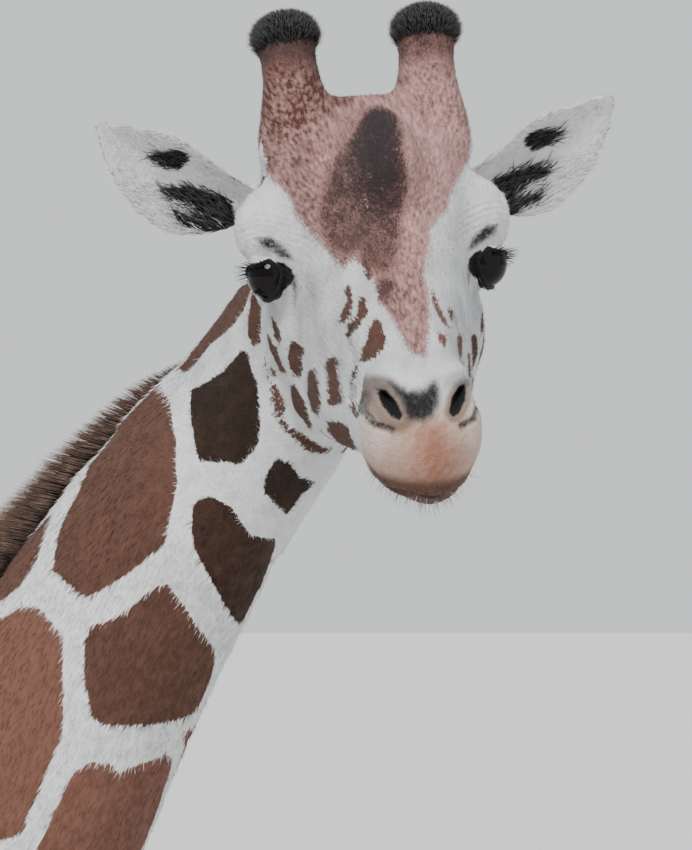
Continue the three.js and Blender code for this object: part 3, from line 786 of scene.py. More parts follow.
def rusty_hair(local, left, high, facing, horn, white_ear):
    """Where the forehead and ossicones are rusty, where they darken to umber, and how light each is."""
    rust = facing * smooth_step(-8, 8, depth_in(RUST, left, high)) * (1 - white_ear)
    rust = np.maximum(1.15 * rust, 1.4 * horn)
    crown = smooth_step(-70, -115, local[:, 0]) * smooth_step(60, 105, local[:, 2])
    rust = np.maximum(rust, 0.75 * crown * smooth_step(115, 90, np.abs(local[:, 1])))
    umber = facing * smooth_step(-8, 10, depth_in(BLAZE, left, high))
    umber *= 0.68 + 0.32 * rise_at(left, -6, 22, 1) * smooth_step(20, 110, high)
    for outline in MAUVE_SPOTS:
        umber = np.maximum(umber, 0.7 * facing * smooth_step(-3, 4, depth_in(outline, left, high)))
    # The rust is lighter towards the head's left, and the left ossicone lighter than the right: painted
    # light on that side of the head.
    tinted = 0.40 + 0.28 * smooth_step(-70, 40, left) - 0.20 * smooth_step(60, -30, high)
    upmost = np.zeros(len(local))
    for side, light in ((1, 0.50), (-1, 0.16)):
        up, aside, _ = horn_chart(local, side)
        on = smooth_step(64, 46, aside) * smooth_step(-25, 25, up) * (up < PAST_HORN)
        tinted = tinted * (1 - on) + light * on
        upmost = np.maximum(upmost, up * (aside < ROUND_HORN))
    return rust, np.maximum(umber, 0.72 * horn * smooth_step(38, 84, upmost)), tinted


def ground_colours(points, local, left, high, facing):
    """The colour between the patches: pale, grey on the cheeks and faintly over the face as painted shade,
    cream to brown on the nose and lips.
    """
    ground = np.empty((len(points), 4))
    ground[:] = PALE
    # The grey on the cheeks, and faintly over the face's front, is painted shade.
    cheek = smooth_step(-150, -60, high) * smooth_step(35, -10, high)
    cheek *= 0.50 + 0.35 * wander(points, 0.05, 31)
    grey = np.maximum(cheek, 0.16 * smooth_step(120, 90, np.abs(left)))
    blend(ground, FACE_SHADE_GREY, facing * grey)
    before_head = np.linalg.norm(local, axis=1) < 430
    muzzle = smooth_step(262, 300, local[:, 0]) * before_head
    on_nose = (local[:, 0] > 245) & before_head
    speckle = 1 + 0.3 * wander(points, 0.008, 51, 9)
    blend(ground, LIP_CREAM, muzzle * smooth_step(-112, -140, high))
    mid = rise_at(left, 2, 32 + 34 * smooth_step(-150, -200, high), 1)
    blend(ground, LIP_TAN, muzzle * mid * smooth_step(-128, -152, high) * 0.9 * speckle)
    blend(ground, LIP_RED, muzzle * rise_at(left, 7, 17, 1) * rise_at(high, -174, 24, 1) * 0.7 * speckle)
    holes = [depth_in(NOSTRIL, left * side, high) for side in SIDES]
    rims = np.maximum(smooth_step(-16, -9, holes[0]), smooth_step(-8, -3, holes[1]))
    blend(ground, NOSE_OCHRE, rims * on_nose * 0.85)
    slate = smooth_step(-9, 9, depth_in(NOSE_DARK, left, high)) * speckle
    upper = 0.55 * speckle * smooth_step(-122, -108, high)
    for hole in holes:
        slate = np.maximum(slate, upper * smooth_step(-18, -9, hole))
    blend(ground, NOSE_SLATE, slate * on_nose * 0.9)
    under = smooth_step(-88, -100, local[:, 2] + 0.06 * local[:, 0] + 4)
    blend(ground, LIP_BROWN, muzzle * smooth_step(-72, -86, local[:, 2]) * (1 - under) * 0.9)
    blend(ground, LEG_TAN, 0.45 * smooth_step(0.9, 0.2, points[:, 2]))
    blend(ground, UNDER_HOOF, smooth_step(0.11, 0.07, points[:, 2]) * 0.8)
    return ground


def markings(points, normals):
    """Every marking of the coat at some points of the skin, as named values."""
    local = to_head(points)
    along, around, _ = neck_chart(points)
    left, high = face_front(local)
    depth, tone = patch_depths(points, local, along, around)
    depth, tone = body_patches(points, local, along, around, depth, tone)
    facing = (local[:, 0] > -110) & (np.linalg.norm(local, axis=1) < 420)
    horn, white_ear = np.zeros(len(points)), np.zeros(len(points))
    for side in SIDES:
        up, aside, _ = horn_chart(local, side)
        horn = np.maximum(horn, smooth_step(62, 48, aside) * smooth_step(-12, 12, up) * (up < PAST_HORN))
        out, _, _, _ = ear_chart(local, side)
        white_ear = np.maximum(white_ear, on_ear(local, side, 96, 2) * smooth_step(2, 22, out))
    rust, umber, tinted = rusty_hair(local, left, high, facing, horn, white_ear)
    tone = np.where(rust > 0.02, tinted + 0.09 * wander(points, 0.04, 41), tone)
    depth = np.where((rust > 0.5) & (local[:, 0] > -110), np.minimum(depth, -6), depth)
    belly = smooth_step(-0.55, -0.95, normals[:, 2]) * (points[:, 2] > 1.5) * (points[:, 2] < 2.4)
    return {
        "spot": depth - 60 * white_ear - 40 * belly,
        "spot_tone": tone,
        "rust": rust,
        "umber": umber,
        # black hair, and painted shade in the nostrils, creases and the mouth's line
        "black_and_shade": dark_marks(local, normals, left, high, facing),
        "ground": ground_colours(points, local, left, high, facing),
        "on_head": share_on_head(local),
        "on_legs": share_on_legs(points),
    }


def put_values(mesh, values):
    """Keeps markings on a mesh's vertices, for its material to read."""
    for name, value in values.items():
        if value.ndim == 1:
            layer = mesh.attributes.new(name, "FLOAT", "POINT")
            layer.data.foreach_set("value", value.astype(np.float32))
        else:
            layer = mesh.attributes.new(name, "FLOAT_COLOR", "POINT")
            layer.data.foreach_set("color", value.astype(np.float32).ravel())


BACKWARD, DOWN_LEG = np.array([-0.93, 0, -0.36]), np.array([-0.12, 0, -1.0])


def lie_of_coat(points, normals):
    """The way the hair lies on each part of the skin, along its surface."""
    local = to_head(points)
    along, _, _ = neck_chart(points)
    near = ((points[:, None, :] - AXIS[None, ::8]) ** 2).sum(2).argmin(1) * 8
    down_neck = -AXIS_AHEAD[np.minimum(near, len(AXIS) - 1)]
    on_neck = (smooth_step(150, 700, along) * (points[:, 2] > 2.2))[:, None]
    on_legs, on_head = share_on_legs(points)[:, None], share_on_head(local)[:, None]
    lies = down_neck * on_neck + (BACKWARD * (1 - on_legs) + DOWN_LEG * on_legs) * (1 - on_neck)
    up = 0.1 + 0.3 * (local[:, 0] > 250)
    face = np.stack([np.full(len(local), -1.0), 0.1 * np.sign(local[:, 1]), up], 1)
    lies = lies * (1 - on_head) + (face @ TURN.T) * on_head
    for side in SIDES:
        up, aside, axis = horn_chart(local, side)
        on = (aside < 60) & (up > 10) & (up < PAST_HORN)
        lies = np.where(on[:, None], axis @ TURN.T, lies)
        way = ear_chart(local, side)[3]
        lies = np.where(on_ear(local, side, 110, 5)[:, None], way @ TURN.T, lies)
    lies = lies - normals * (lies * normals).sum(1)[:, None]
    return lies / (np.linalg.norm(lies, axis=1)[:, None] + 1e-9)


# ---------- effects shared by the materials ----------
def link(tree, source, target):
    tree.links.new(source, target)


def maths(tree, operation, a, b, clamp=False):
    node = tree.nodes.new("ShaderNodeMath")
    node.operation = operation
    node.use_clamp = clamp
    for socket, value in zip(node.inputs, (a, b)):
        if isinstance(value, (int, float)):
            socket.default_value = value
        else:
            link(tree, value, socket)
    return node.outputs[0]


def total(tree, first, *others, clamp=False):
    """The sum of some values, kept between 0 and 1 after each if asked."""
    for other in others:
        first = maths(tree, "ADD", first, other, clamp=clamp)
    return first


def times(tree, value, size):
    return maths(tree, "MULTIPLY", value, size)


def swing(tree, value, size):
    """How far a value between 0 and 1 is from its middle, made larger or smaller."""
    return times(tree, maths(tree, "SUBTRACT", value, 0.5), size)


def between_values(tree, one, other, share):
    return total(tree, one, times(tree, maths(tree, "SUBTRACT", other, one), share))


def step(tree, value, low, high):
    """0 below low and 1 above high, with an eased rise from one to the other."""
    node = tree.nodes.new("ShaderNodeMapRange")
    node.interpolation_type = "SMOOTHSTEP"
    node.inputs["From Min"].default_value = low
    node.inputs["From Max"].default_value = high
    tree.links.new(value, node.inputs["Value"])
    return node.outputs["Result"]


def mix(tree, share, one, other, how="MIX"):
    node = tree.nodes.new("ShaderNodeMix")
    node.data_type = "RGBA"
    node.blend_type = how
    sockets = {s.identifier: s for s in node.inputs}
    for key, value in (("Factor_Float", share), ("A_Color", one), ("B_Color", other)):
        if isinstance(value, (float, int, tuple)):
            sockets[key].default_value = value
        else:
            link(tree, value, sockets[key])
    return next(s for s in node.outputs if s.identifier == "Result_Color")


def noise(tree, where, scale, detail=2.0, rough=0.5):
    node = tree.nodes.new("ShaderNodeTexNoise")
    node.inputs["Scale"].default_value = scale
    node.inputs["Detail"].default_value = detail
    node.inputs["Roughness"].default_value = rough
    tree.links.new(where, node.inputs["Vector"])
    return node.outputs["Fac"]


def attribute(tree, name, output="Fac"):
    node = tree.nodes.new("ShaderNodeAttribute")
    node.attribute_name = name
    return node.outputs[output]


def new_group(name, ins, outs):
    group = bpy.data.node_groups.new(name, "ShaderNodeTree")
    for title, kind, value in ins:
        socket = group.interface.new_socket(title, in_out="INPUT", socket_type=kind)
        socket.default_value = value
    for title, kind in outs:
        group.interface.new_socket(title, in_out="OUTPUT", socket_type=kind)
    return group, group.nodes.new("NodeGroupInput").outputs, group.nodes.new("NodeGroupOutput").inputs


def make_hair_streaks():
    """Fine streaks along the lie of the coat: head, neck and trunk, and legs each have their own way."""
    group, given, made = new_group("hair_streaks", [("Length", "NodeSocketFloat", 0.012),
                                                    ("Width", "NodeSocketFloat", 0.0013)],
                                   [("Streaks", "NodeSocketFloat"), ("Clumps", "NodeSocketFloat")])
    place = group.nodes.new("ShaderNodeTexCoord").outputs["Object"]
    size = group.nodes.new("ShaderNodeCombineXYZ")
    link(group, given["Length"], size.inputs[0])
    link(group, given["Width"], size.inputs[1])
    link(group, given["Width"], size.inputs[2])
    found = []
    for turn in (HEAD_TURN.to_euler(), (0, math.radians(-58.5), 0), (0, math.radians(-90), 0)):
        mapping = group.nodes.new("ShaderNodeMapping")
        mapping.vector_type = "TEXTURE"
        mapping.inputs["Rotation"].default_value = turn
        link(group, place, mapping.inputs["Vector"])
        link(group, size.outputs[0], mapping.inputs["Scale"])
        turned = mapping.outputs[0]
        found.append((noise(group, turned, 1.0, 3.0, 0.6), noise(group, turned, 0.36, 2.0)))
    on_head, on_legs = attribute(group, "on_head"), attribute(group, "on_legs")
    for title, (head, body, legs) in zip(("Streaks", "Clumps"), zip(*found)):
        lower = between_values(group, body, legs, on_legs)
        link(group, between_values(group, lower, head, on_head), made[title])
    return group


# Colours of the hair, darker and lighter, between which each hair has its own tone.
PATCH = [(0.026, 0.015, 0.010, 1), (0.205, 0.094, 0.066, 1)]
RUSTY = [(0.085, 0.036, 0.027, 1), (0.62, 0.355, 0.325, 1)]
UMBER = [(0.12, 0.060, 0.048, 1), (0.034, 0.025, 0.027, 1)]
CLEAN = [(1, 1, 1, 1), (0.86, 0.85, 0.84, 1)]
# Near black, for black hair and for the painted shade in the nostrils, creases and the mouth's line.
BLACK_AND_SHADE = (0.008, 0.0075, 0.008, 1)


def make_coat_colours():
    """The coat's colour from the markings kept on its vertices, with hairs crossing each edge."""
    group, given, made = new_group("coat_colours", [("Streaks", "NodeSocketFloat", 0.5),
                                                    ("Clumps", "NodeSocketFloat", 0.5)],
                                   [("Colour", "NodeSocketColor"), ("Dark", "NodeSocketFloat")])
    place = group.nodes.new("ShaderNodeTexCoord").outputs["Object"]
    streaks, clumps = given["Streaks"], given["Clumps"]
    blur = noise(group, place, 60, 3.0, 0.6)
    ragged = total(group, swing(group, streaks, 7.0), swing(group, clumps, 6.0))
    flecks = total(group, swing(group, streaks, 1.5), swing(group, clumps, 1.1), swing(group, blur, 0.9))

    spot = step(group, total(group, attribute(group, "spot"), ragged), -0.9, 0.9)
    rust = step(group, total(group, attribute(group, "rust"), flecks), 0.25, 0.85)
    umber = step(group, total(group, attribute(group, "umber"), times(group, flecks, 0.8)), 0.28, 0.8)
    umber_tone = step(group, total(group, attribute(group, "umber"), times(group, flecks, 0.3)), 0.45, 1.0)
    # The dark marks hold black hair and painted shade alike.
    black_and_shade = step(group, total(group, attribute(group, "black_and_shade"), times(group, flecks, 0.35)), 0.15, 0.85)
    tone = total(group, attribute(group, "spot_tone"), swing(group, streaks, 0.35), swing(group, blur, 0.45),
                 clamp=True)
    rust_tone = total(group, tone, swing(group, clumps, 1.7), clamp=True)

    clean = mix(group, step(group, blur, 0.35, 0.75), *CLEAN)
    colour = mix(group, 1.0, attribute(group, "ground", "Color"), clean, "MULTIPLY")
    colour = mix(group, rust, colour, mix(group, rust_tone, *RUSTY))
    colour = mix(group, umber, colour, mix(group, umber_tone, *UMBER))
    colour = mix(group, spot, colour, mix(group, tone, *PATCH))
    colour = mix(group, black_and_shade, colour, BLACK_AND_SHADE)
    link(group, colour, made["Colour"])
    link(group, black_and_shade, made["Dark"])
    return group


def new_paint(name, rough):
    paint = bpy.data.materials.new(name)
    paint.use_nodes = True
    shader = paint.node_tree.nodes["Principled BSDF"]
    shader.inputs["Roughness"].default_value = rough
    return paint, paint.node_tree, shader


def place_group(tree, group):
    node = tree.nodes.new("ShaderNodeGroup")
    node.node_tree = group
    return node


def bump(tree, shader, height, depth):
    node = tree.nodes.new("ShaderNodeBump")
    node.inputs["Distance"].default_value = depth
    link(tree, height, node.inputs["Height"])
    link(tree, node.outputs["Normal"], shader.inputs["Normal"])


HAIR_STREAKS = make_hair_streaks()
COAT_COLOURS = make_coat_colours()


def coat_paint(name, depth):
    """The patched coat, with its streaks raised by some depth."""
    paint, tree, shader = new_paint(name, 0.72)
    streaks = place_group(tree, HAIR_STREAKS)
    colours = place_group(tree, COAT_COLOURS)
    for title in ("Streaks", "Clumps"):
        link(tree, streaks.outputs[title], colours.inputs[title])
    link(tree, colours.outputs["Colour"], shader.inputs["Base Color"])
    damp = maths(tree, "SUBTRACT", 0.78, times(tree, colours.outputs["Dark"], 0.3))
    link(tree, damp, shader.inputs["Roughness"])
    shader.inputs["Specular IOR Level"].default_value = 0.145
    shader.inputs["Sheen Weight"].default_value = 0.05
    shader.inputs["Sheen Roughness"].default_value = 0.5
    if depth:
        height = total(tree, streaks.outputs["Streaks"], times(tree, streaks.outputs["Clumps"], 1.2))
        bump(tree, shader, height, depth)
    return paint


def hair_paint(name, root, tip, rough):
    """Long hair, from its colour at the root to its colour at the tip."""
    paint, tree, shader = new_paint(name, rough)
    place = tree.nodes.new("ShaderNodeTexCoord").outputs["Object"]
    share = total(tree, attribute(tree, "tip"), swing(tree, noise(tree, place, 90, 2.0), 0.8), clamp=True)
    link(tree, mix(tree, share, root, tip), shader.inputs["Base Color"])
    shader.inputs["Specular IOR Level"].default_value = 0.35
    return paint


def horn_paint():
    """Hoof horn, banded level."""
    paint, tree, shader = new_paint("hoof_horn", 0.42)
    place = tree.nodes.new("ShaderNodeTexCoord").outputs["Object"]
    rings = tree.nodes.new("ShaderNodeMapping")
    rings.inputs["Scale"].default_value = (6, 6, 90)
    link(tree, place, rings.inputs["Vector"])
    bands = noise(tree, rings.outputs[0], 1.0, 3.0)
    colour = mix(tree, bands, (0.026, 0.019, 0.015, 1), (0.115, 0.085, 0.062, 1))
    link(tree, colour, shader.inputs["Base Color"])
    bump(tree, shader, bands, 0.8 * MM)
    return paint


def eye_paint():
    """A dark wet eye: nearly black pupil, lying level, in a dark brown iris."""
    paint, tree, shader = new_paint("dark_eye", 0.06)
    pupil = step(tree, attribute(tree, "pupil"), 0.0, 1.0)
    place = tree.nodes.new("ShaderNodeTexCoord").outputs["Object"]
    iris = mix(tree, noise(tree, place, 500, 3.0), (0.0016, 0.0012, 0.0010, 1), (0.006, 0.004, 0.003, 1))
    link(tree, mix(tree, pupil, iris, (0.001, 0.001, 0.0012, 1)), shader.inputs["Base Color"])
    shader.inputs["Specular IOR Level"].default_value = 0.19
    return paint


PAINTS = {
    "coat": coat_paint("patched_coat", 1.6 * MM),
    "tufts": coat_paint("patched_hair", 0),
    "mane": hair_paint("mane_hair", (0.026, 0.015, 0.012, 1), (0.34, 0.215, 0.160, 1), 0.6),
    "black": hair_paint("black_hair", (0.011, 0.011, 0.012, 1), (0.075, 0.070, 0.074, 1), 0.5),
    "white": hair_paint("white_hair", (0.80, 0.79, 0.78, 1), (0.88, 0.87, 0.86, 1), 0.6),
    "horn": horn_paint(),
    "eye": eye_paint(),
}


# ---------- hair ----------
class Coat:
    """The skin's triangles, to pick roots of hairs on."""

    def __init__(self, mesh):
        mesh.calc_loop_triangles()
        corners = np.empty(len(mesh.loop_triangles) * 3, int)
        mesh.loop_triangles.foreach_get("vertices", corners)
        self.corners = corners.reshape(-1, 3)
        self.points, self.normals = points_of(mesh), normals_of(mesh)
        a, b, c = (self.points[self.corners[:, i]] for i in range(3))
        self.area = np.linalg.norm(np.cross(b - a, c - a), axis=1) / 2

    def pick(self, wanted, count):
        """Roots spread by area where wanted, a share for each vertex, is above nothing."""
        odds = self.area * wanted[self.corners].mean(1)
        odds /= odds.sum()
        # evenly spaced steps through the summed odds spread the roots better than free draws
        steps = (np.arange(count) + dice.uniform(0, 1, count)) / count
        chosen = np.minimum(np.searchsorted(np.cumsum(odds), steps), len(odds) - 1)
        u, v = dice.uniform(0, 1, (2, count))
        flip = u + v > 1
        u[flip], v[flip] = 1 - u[flip], 1 - v[flip]
        shares = np.stack([1 - u - v, u, v], 1)
        return self.corners[chosen], shares


def at_roots(picked, values):
    """Values kept for each vertex, at some picked roots."""
    corners, shares = picked
    shares = shares if values.ndim == 1 else shares[:, :, None]
    return (values[corners] * shares).sum(1)


def unit(vectors):
    return vectors / (np.linalg.norm(vectors, axis=1)[:, None] + 1e-12)


def add_piece(name, mesh, paint, slot, *replaced):
    """A finished piece: smooth, painted, fixed to the body, and standing for some CAD nodes."""
    mesh.materials.append(paint)
    mesh.polygons.foreach_set("use_smooth", np.full(len(mesh.polygons), True))
    piece = link_in(name, mesh)
    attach(piece, "root")
    if replaced:
        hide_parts(*replaced)
    return piece


def hair_faces(rings, count, corners):
    """The triangles of count hairs, each of so many corners: rings of three, then the tip."""
    faces = [(0, 2, 1)]
    for low in range(0, 3 * (rings - 1), 3):
        high = low + 3
        for i in range(3):
            j = (i + 1) % 3
            faces += [(low + i, low + j, high + j), (low + i, high + j, high + i)]
    last = 3 * (rings - 1)
    faces += [(last + i, last + (i + 1) % 3, corners - 1) for i in range(3)]
    return (np.array(faces)[None] + (np.arange(count) * corners)[:, None, None]).reshape(-1, 3)


HALF_PATCH = 0.0015  # of the unwrap's width, for one hair


def unwrap_hairs(mesh, faces, ts, patch):
    """Gives each hair a small patch of the unwrap, at its root's place."""
    sides = [(HALF_PATCH * (1 if i == 1 else -1), HALF_PATCH * (2 * t - 1)) for t in ts for i in range(3)]
    shift = np.array(sides + [(0, HALF_PATCH)])
    middles = np.clip(patch, 2 * HALF_PATCH, 1 - 2 * HALF_PATCH)
    flat_map = (middles[:, None, :] + shift[None]).reshape(-1, 2)
    layer = mesh.uv_layers.new(name="OFBake")
    layer.data.foreach_set("uv", flat_map[faces.ravel()].astype(np.float32).ravel())


def grow(name, paint, slot, roots, lies, outs, lengths, widths, lift, bend, patch, values=None, rings=1,
         flat=0.5, like_skin=False):
    """One joined piece of thin closed hairs that leave their roots along lies, lifted and bent outward."""
    count = len(roots)
    lies, outs = unit(lies), unit(outs)
    sides = unit(np.cross(outs, lies))
    ts = np.linspace(0, 1, rings + 2)[:-1]
    sizes = (lift, bend, lengths, widths)
    lift, bend, long, wide = (np.broadcast_to(size, count)[:, None] for size in sizes)

    def centre(t):
        return roots + long * (lies * t + outs * (lift * t + bend * t * t)) - outs * wide * 0.4 * (t == 0)

    rows = []
    for t in ts:
        fat = wide * (1 - 0.75 * t) / 2
        rows += [centre(t) - sides * fat, centre(t) + sides * fat, centre(t) + outs * fat * 2 * flat]
    rows.append(centre(1.0))
    corners = len(rows)
    faces = hair_faces(len(ts), count, corners)
    mesh = bpy.data.meshes.new(name)
    mesh.from_pydata(np.stack(rows, 1).reshape(-1, 3), [], faces)
    put_values(mesh, {"tip": np.tile(np.append(np.repeat(ts, 3), 1.0), count)})
    if values:
        put_values(mesh, {key: np.repeat(value, corners, axis=0) for key, value in values.items()})
    unwrap_hairs(mesh, faces, ts, patch)
    add_piece(name, mesh, paint, slot)
    if like_skin:
        mesh.normals_split_custom_set_from_vertices(np.repeat(outs, corners, axis=0).tolist())


# ---------- the skin and the eyes ----------
skin_mesh = make_skin()
along, _, _ = neck_chart(points_of(skin_mesh))
relax(skin_mesh, 10 * smooth_step(60, 20, np.abs(along - SKIN_JOIN)) * (points_of(skin_mesh)[:, 2] > 3))
# the skin is drawn in by the depth of its fur, and less at the thin ears
shrunk = MM * (2.0 - 0.8 * (np.abs(to_head(points_of(skin_mesh))[:, 1]) > 125))
put_points(skin_mesh, points_of(skin_mesh) - normals_of(skin_mesh) * shrunk[:, None])
shape_head(skin_mesh)
under_skin = [node for node in dict.fromkeys(FLESH_FINE + FLESH_COARSE) if not node.startswith("eye")]
skin = add_piece("skin", skin_mesh, PAINTS["coat"], "patched_coat", *under_skin)

coat = Coat(skin_mesh)
marks = markings(coat.points, coat.normals)
spots = to_head(coat.points)
put_values(skin_mesh, marks)
lie = lie_of_coat(coat.points, coat.normals)


PUPIL_WIDE, PUPIL_HIGH = 10, 5.5  # from its middle, in millimetres


def make_eyes():
    """Round eyes behind the lids, each with a pupil lying level."""
    for name, side in (("eye_left", 1), ("eye_right", -1)):
        bm = bmesh.new()
        bmesh.ops.create_uvsphere(bm, u_segments=64, v_segments=32, radius=EYE_RADIUS)
        gaze = gaze_of(side)
        turn = Vector(TURN @ gaze).to_track_quat("Z", "Y").to_matrix().to_4x4()
        bmesh.ops.transform(bm, matrix=Matrix.Translation(middle(name)) @ turn, verts=bm.verts)
        mesh = bpy.data.meshes.new(name + "_ball")
        bm.to_mesh(mesh)
        bm.free()
        local = to_head(points_of(mesh)) - EYE_AT * (1, side, 1)
        level = unit(np.cross(gaze, [0, 0, 1])[None])[0]
        aside, up = local @ level, local @ np.cross(level, gaze)
        front = local @ gaze > 0
        out = np.hypot(aside / PUPIL_WIDE, up / PUPIL_HIGH)
        put_values(mesh, {"pupil": smooth_step(1.15, 0.9, out) * front})
        add_piece(name + "_ball", mesh, PAINTS["eye"], "eye", name)


make_eyes()


# ---------- the coat, mane, tail, head hair and hooves ----------
def head_unwrap(points):
    """A place for each root on the head's skin unrolled round its length."""
    local = to_head(points)
    turned = np.arctan2(local[:, 1], local[:, 2] + 30) / FULL_TURN
    return np.stack([(local[:, 0] + 220) / 620, turned + 0.5], 1)


def neck_unwrap(points):
    far, turned, _ = neck_chart(points)
    return np.stack([far / 2250, turned / 360 + 0.5], 1)


def trunk_unwrap(points):
    turned = np.arctan2(points[:, 1], points[:, 2] - 1.75) / FULL_TURN
    return np.stack([(points[:, 0] + 1.6) / 2.9, turned + 0.5], 1)


def leg_unwrap(points):
    """The four legs side by side, each unrolled round a line down its own middle."""
    number = (points[:, 0] > -0.4) * 2 + (points[:, 1] > 0)
    turned = np.zeros(len(points))
    for leg in range(4):
        on = number == leg
        if on.any():
            aside = points[on, :2] - points[on, :2].mean(0)
            turned[on] = np.arctan2(aside[:, 1], aside[:, 0]) / FULL_TURN + 0.5
    return np.stack([number / 4 + turned * 0.24, points[:, 2] / 1.8], 1)


def cover(name, wanted, count, long, wide, lift, unwrap):
    """Short tufts lying along the skin, each with the markings at its root."""
    picked = coat.pick(wanted, count)
    roots, outs, lies = at_roots(picked, coat.points), at_roots(picked, coat.normals), at_roots(picked, lie)
    loose = dice.normal(0, 0.16, (count, 3))
    values = {key: at_roots(picked, value) for key, value in marks.items()}
    lengths = at_roots(picked, np.broadcast_to(long, len(lie))) * dice.uniform(0.75, 1.2, count)
    widths = wide * dice.uniform(0.8, 1.2, count)
    grow(name, PAINTS["tufts"], "patched_coat", roots, lies + loose, outs, lengths, widths,
         lift * dice.uniform(0.6, 1.4, count), -0.04, unwrap(roots), values, rings=0, like_skin=True)


def bare_skin():
    """1 where no hair grows: within the lids, in the nostrils and under the ossicones' caps."""
    bare = np.zeros(len(spots))
    left, high = face_front(spots)
    for side in SIDES:
        opening, off, _, _, _ = eye_opening(spots, side)
        bare = np.maximum(bare, (off < 40) * smooth_step(-5, -2.5, opening))
        hole = smooth_step(-5, -2, depth_in(NOSTRIL, left * -side, high))
        bare = np.maximum(bare, (spots[:, 0] > 250) * hole)
        up, aside, _ = horn_chart(spots, side)
        bare = np.maximum(bare, (up > 95) * (aside < ROUND_HORN) * (up < PAST_HORN))
    return bare


def make_short_fur():
    """The short coat, part by part, since each has its own length and its own unwrap."""
    x, z = coat.points[:, 0], coat.points[:, 2]
    far, _, _ = neck_chart(coat.points)
    ears = on_ear(spots, 1, 110, 4) | on_ear(spots, -1, 110, 4)
    fine = MM * (5.5 - 2.6 * smooth_step(200, 290, spots[:, 0]))
    near_eye = np.minimum(*(np.linalg.norm(spots - EYE_AT * (1, side, 1), axis=1) for side in SIDES))
    fine -= 2.0 * MM * smooth_step(60, 35, near_eye)
    head = (marks["on_head"] > 0.35) | ((np.linalg.norm(spots, axis=1) < 260) & (far > 1960))
    cover("head_fur", (head & ~ears) * (1 - bare_skin()), 46000, fine, 0.8 * MM, 0.22, head_unwrap)
    cover("ear_fur", ears * 1.0, 12000, 6 * MM, 0.8 * MM, 0.16, head_unwrap)
    neck = ~head & ~ears & (z > 2.3) & (far > 250)
    cover("upper_neck_fur", neck * (far > 1250), 46000, 9 * MM, 1.2 * MM, 0.15, neck_unwrap)
    cover("lower_neck_fur", neck * (far <= 1250), 36000, 16 * MM, 2.4 * MM, 0.13, neck_unwrap)
    trunk = ~neck & ~head & ~ears & (z > 1.35)
    cover("trunk_fur", trunk * 1.0, 46000, 24 * MM, 3.4 * MM, 0.12, trunk_unwrap)
    legs = (z <= 1.35) & (z > 0.14) & (x > -1.42)
    cover("leg_fur", legs * 1.0, 30000, 13 * MM, 2.0 * MM, 0.13, leg_unwrap)


def hair_bed(name, node, drawn_in, paint, slot):
    """A CAD node's own shape, drawn in, to stand under its hair."""
    bm = bmesh.new()
    bm.from_mesh(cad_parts[node].data)
    bmesh.ops.remove_doubles(bm, verts=bm.verts, dist=1e-6)
    bm.normal_update()
    for vert in bm.verts:
        vert.co -= vert.normal * drawn_in
    mesh = bpy.data.meshes.new(name)
    bm.to_mesh(mesh)
    bm.free()
    put_values(mesh, {"tip": np.zeros(len(mesh.vertices))})
    add_piece(name, mesh, paint, slot, node)
    return mesh


MANE_FROM, MANE_TO = 225, 2088  # along the neck's axis
MANE_FAR = [MANE_FROM, 355, 1500, 1700, 1800, 1870, 1930, MANE_TO]
MANE_TALL = [16, 62, 62, 57, 49, 37, 22, 8]


def mane_tall(far):
    return np.interp(far, MANE_FAR, MANE_TALL)


def nape_turn(far):
    """How far the nape is turned to the right round the neck, in radians."""
    return -np.radians(np.interp(far, STATION_FAR, NECK_TWIST))


def nape_from_axis(stops):
    """How far the skin of the nape is from the neck's axis, evened out, in millimetres."""
    shell = BVHTree.FromObject(skin, bpy.context.evaluated_depsgraph_get())
    near = axis_at(stops)
    ups = out_of_axis(near, nape_turn(stops))
    nape = [shell.ray_cast(Vector(AXIS[i]), Vector(up))[3] * 1000 for i, up in zip(near, ups)]
    return np.convolve(np.pad(nape, 3, mode="edge"), np.ones(7) / 7, mode="valid")


def press_bed(bed, stops, nape):
    """Lowers the bed to less than half the height of the hair on it."""
    low = points_of(bed)
    far, turned, away = neck_chart(low)
    up = out_of_axis(axis_at(far), np.radians(turned))
    over = np.maximum(away - np.interp(far, stops, nape) - 0.42 * mane_tall(far), 0)
    put_points(bed, low - up * (over * MM)[:, None])


def make_mane():
    """Stiff upright hair along the nape, standing on a low bed."""
    bed = hair_bed("mane_bed", "mane", 6 * MM, PAINTS["mane"], "mane_hair")
    stops = np.linspace(MANE_FROM, MANE_TO, 90)
    nape = nape_from_axis(stops)
    press_bed(bed, stops, nape)

    count = 46000
    at = dice.uniform(MANE_FROM, MANE_TO, count)
    aside = dice.uniform(-1, 1, count)
    base = np.interp(at, stops, nape)
    near = axis_at(at)
    up = out_of_axis(near, nape_turn(at) + aside * 14 / base)
    high = mane_tall(at) * (1 - 0.12 * aside ** 2)
    roots = AXIS[near] + AXIS_AHEAD[near] * (at - AXIS_FAR[near])[:, None] * MM
    roots += up * ((base - 4) * MM)[:, None]
    long = (high * 1.06 + 5) * MM * (1 - 0.16 * dice.uniform(0, 1, count) ** 2)
    inwards = np.cross(up, AXIS_AHEAD[near]) * (aside * 0.16)[:, None]
    locks = 0.05 * np.sin(at * 0.9 + 2 * np.sin(at * 0.17) + aside)
    lies = up - inwards - AXIS_AHEAD[near] * (dice.uniform(0.30, 0.42, count) + locks)[:, None]
    lies += dice.normal(0, 0.035, (count, 3))
    grow("mane_hair", PAINTS["mane"], "mane_hair", roots, lies, -AXIS_AHEAD[near], long, 1.9 * MM, 0.0, 0.0,
         neck_unwrap(roots), rings=0, flat=0.7)


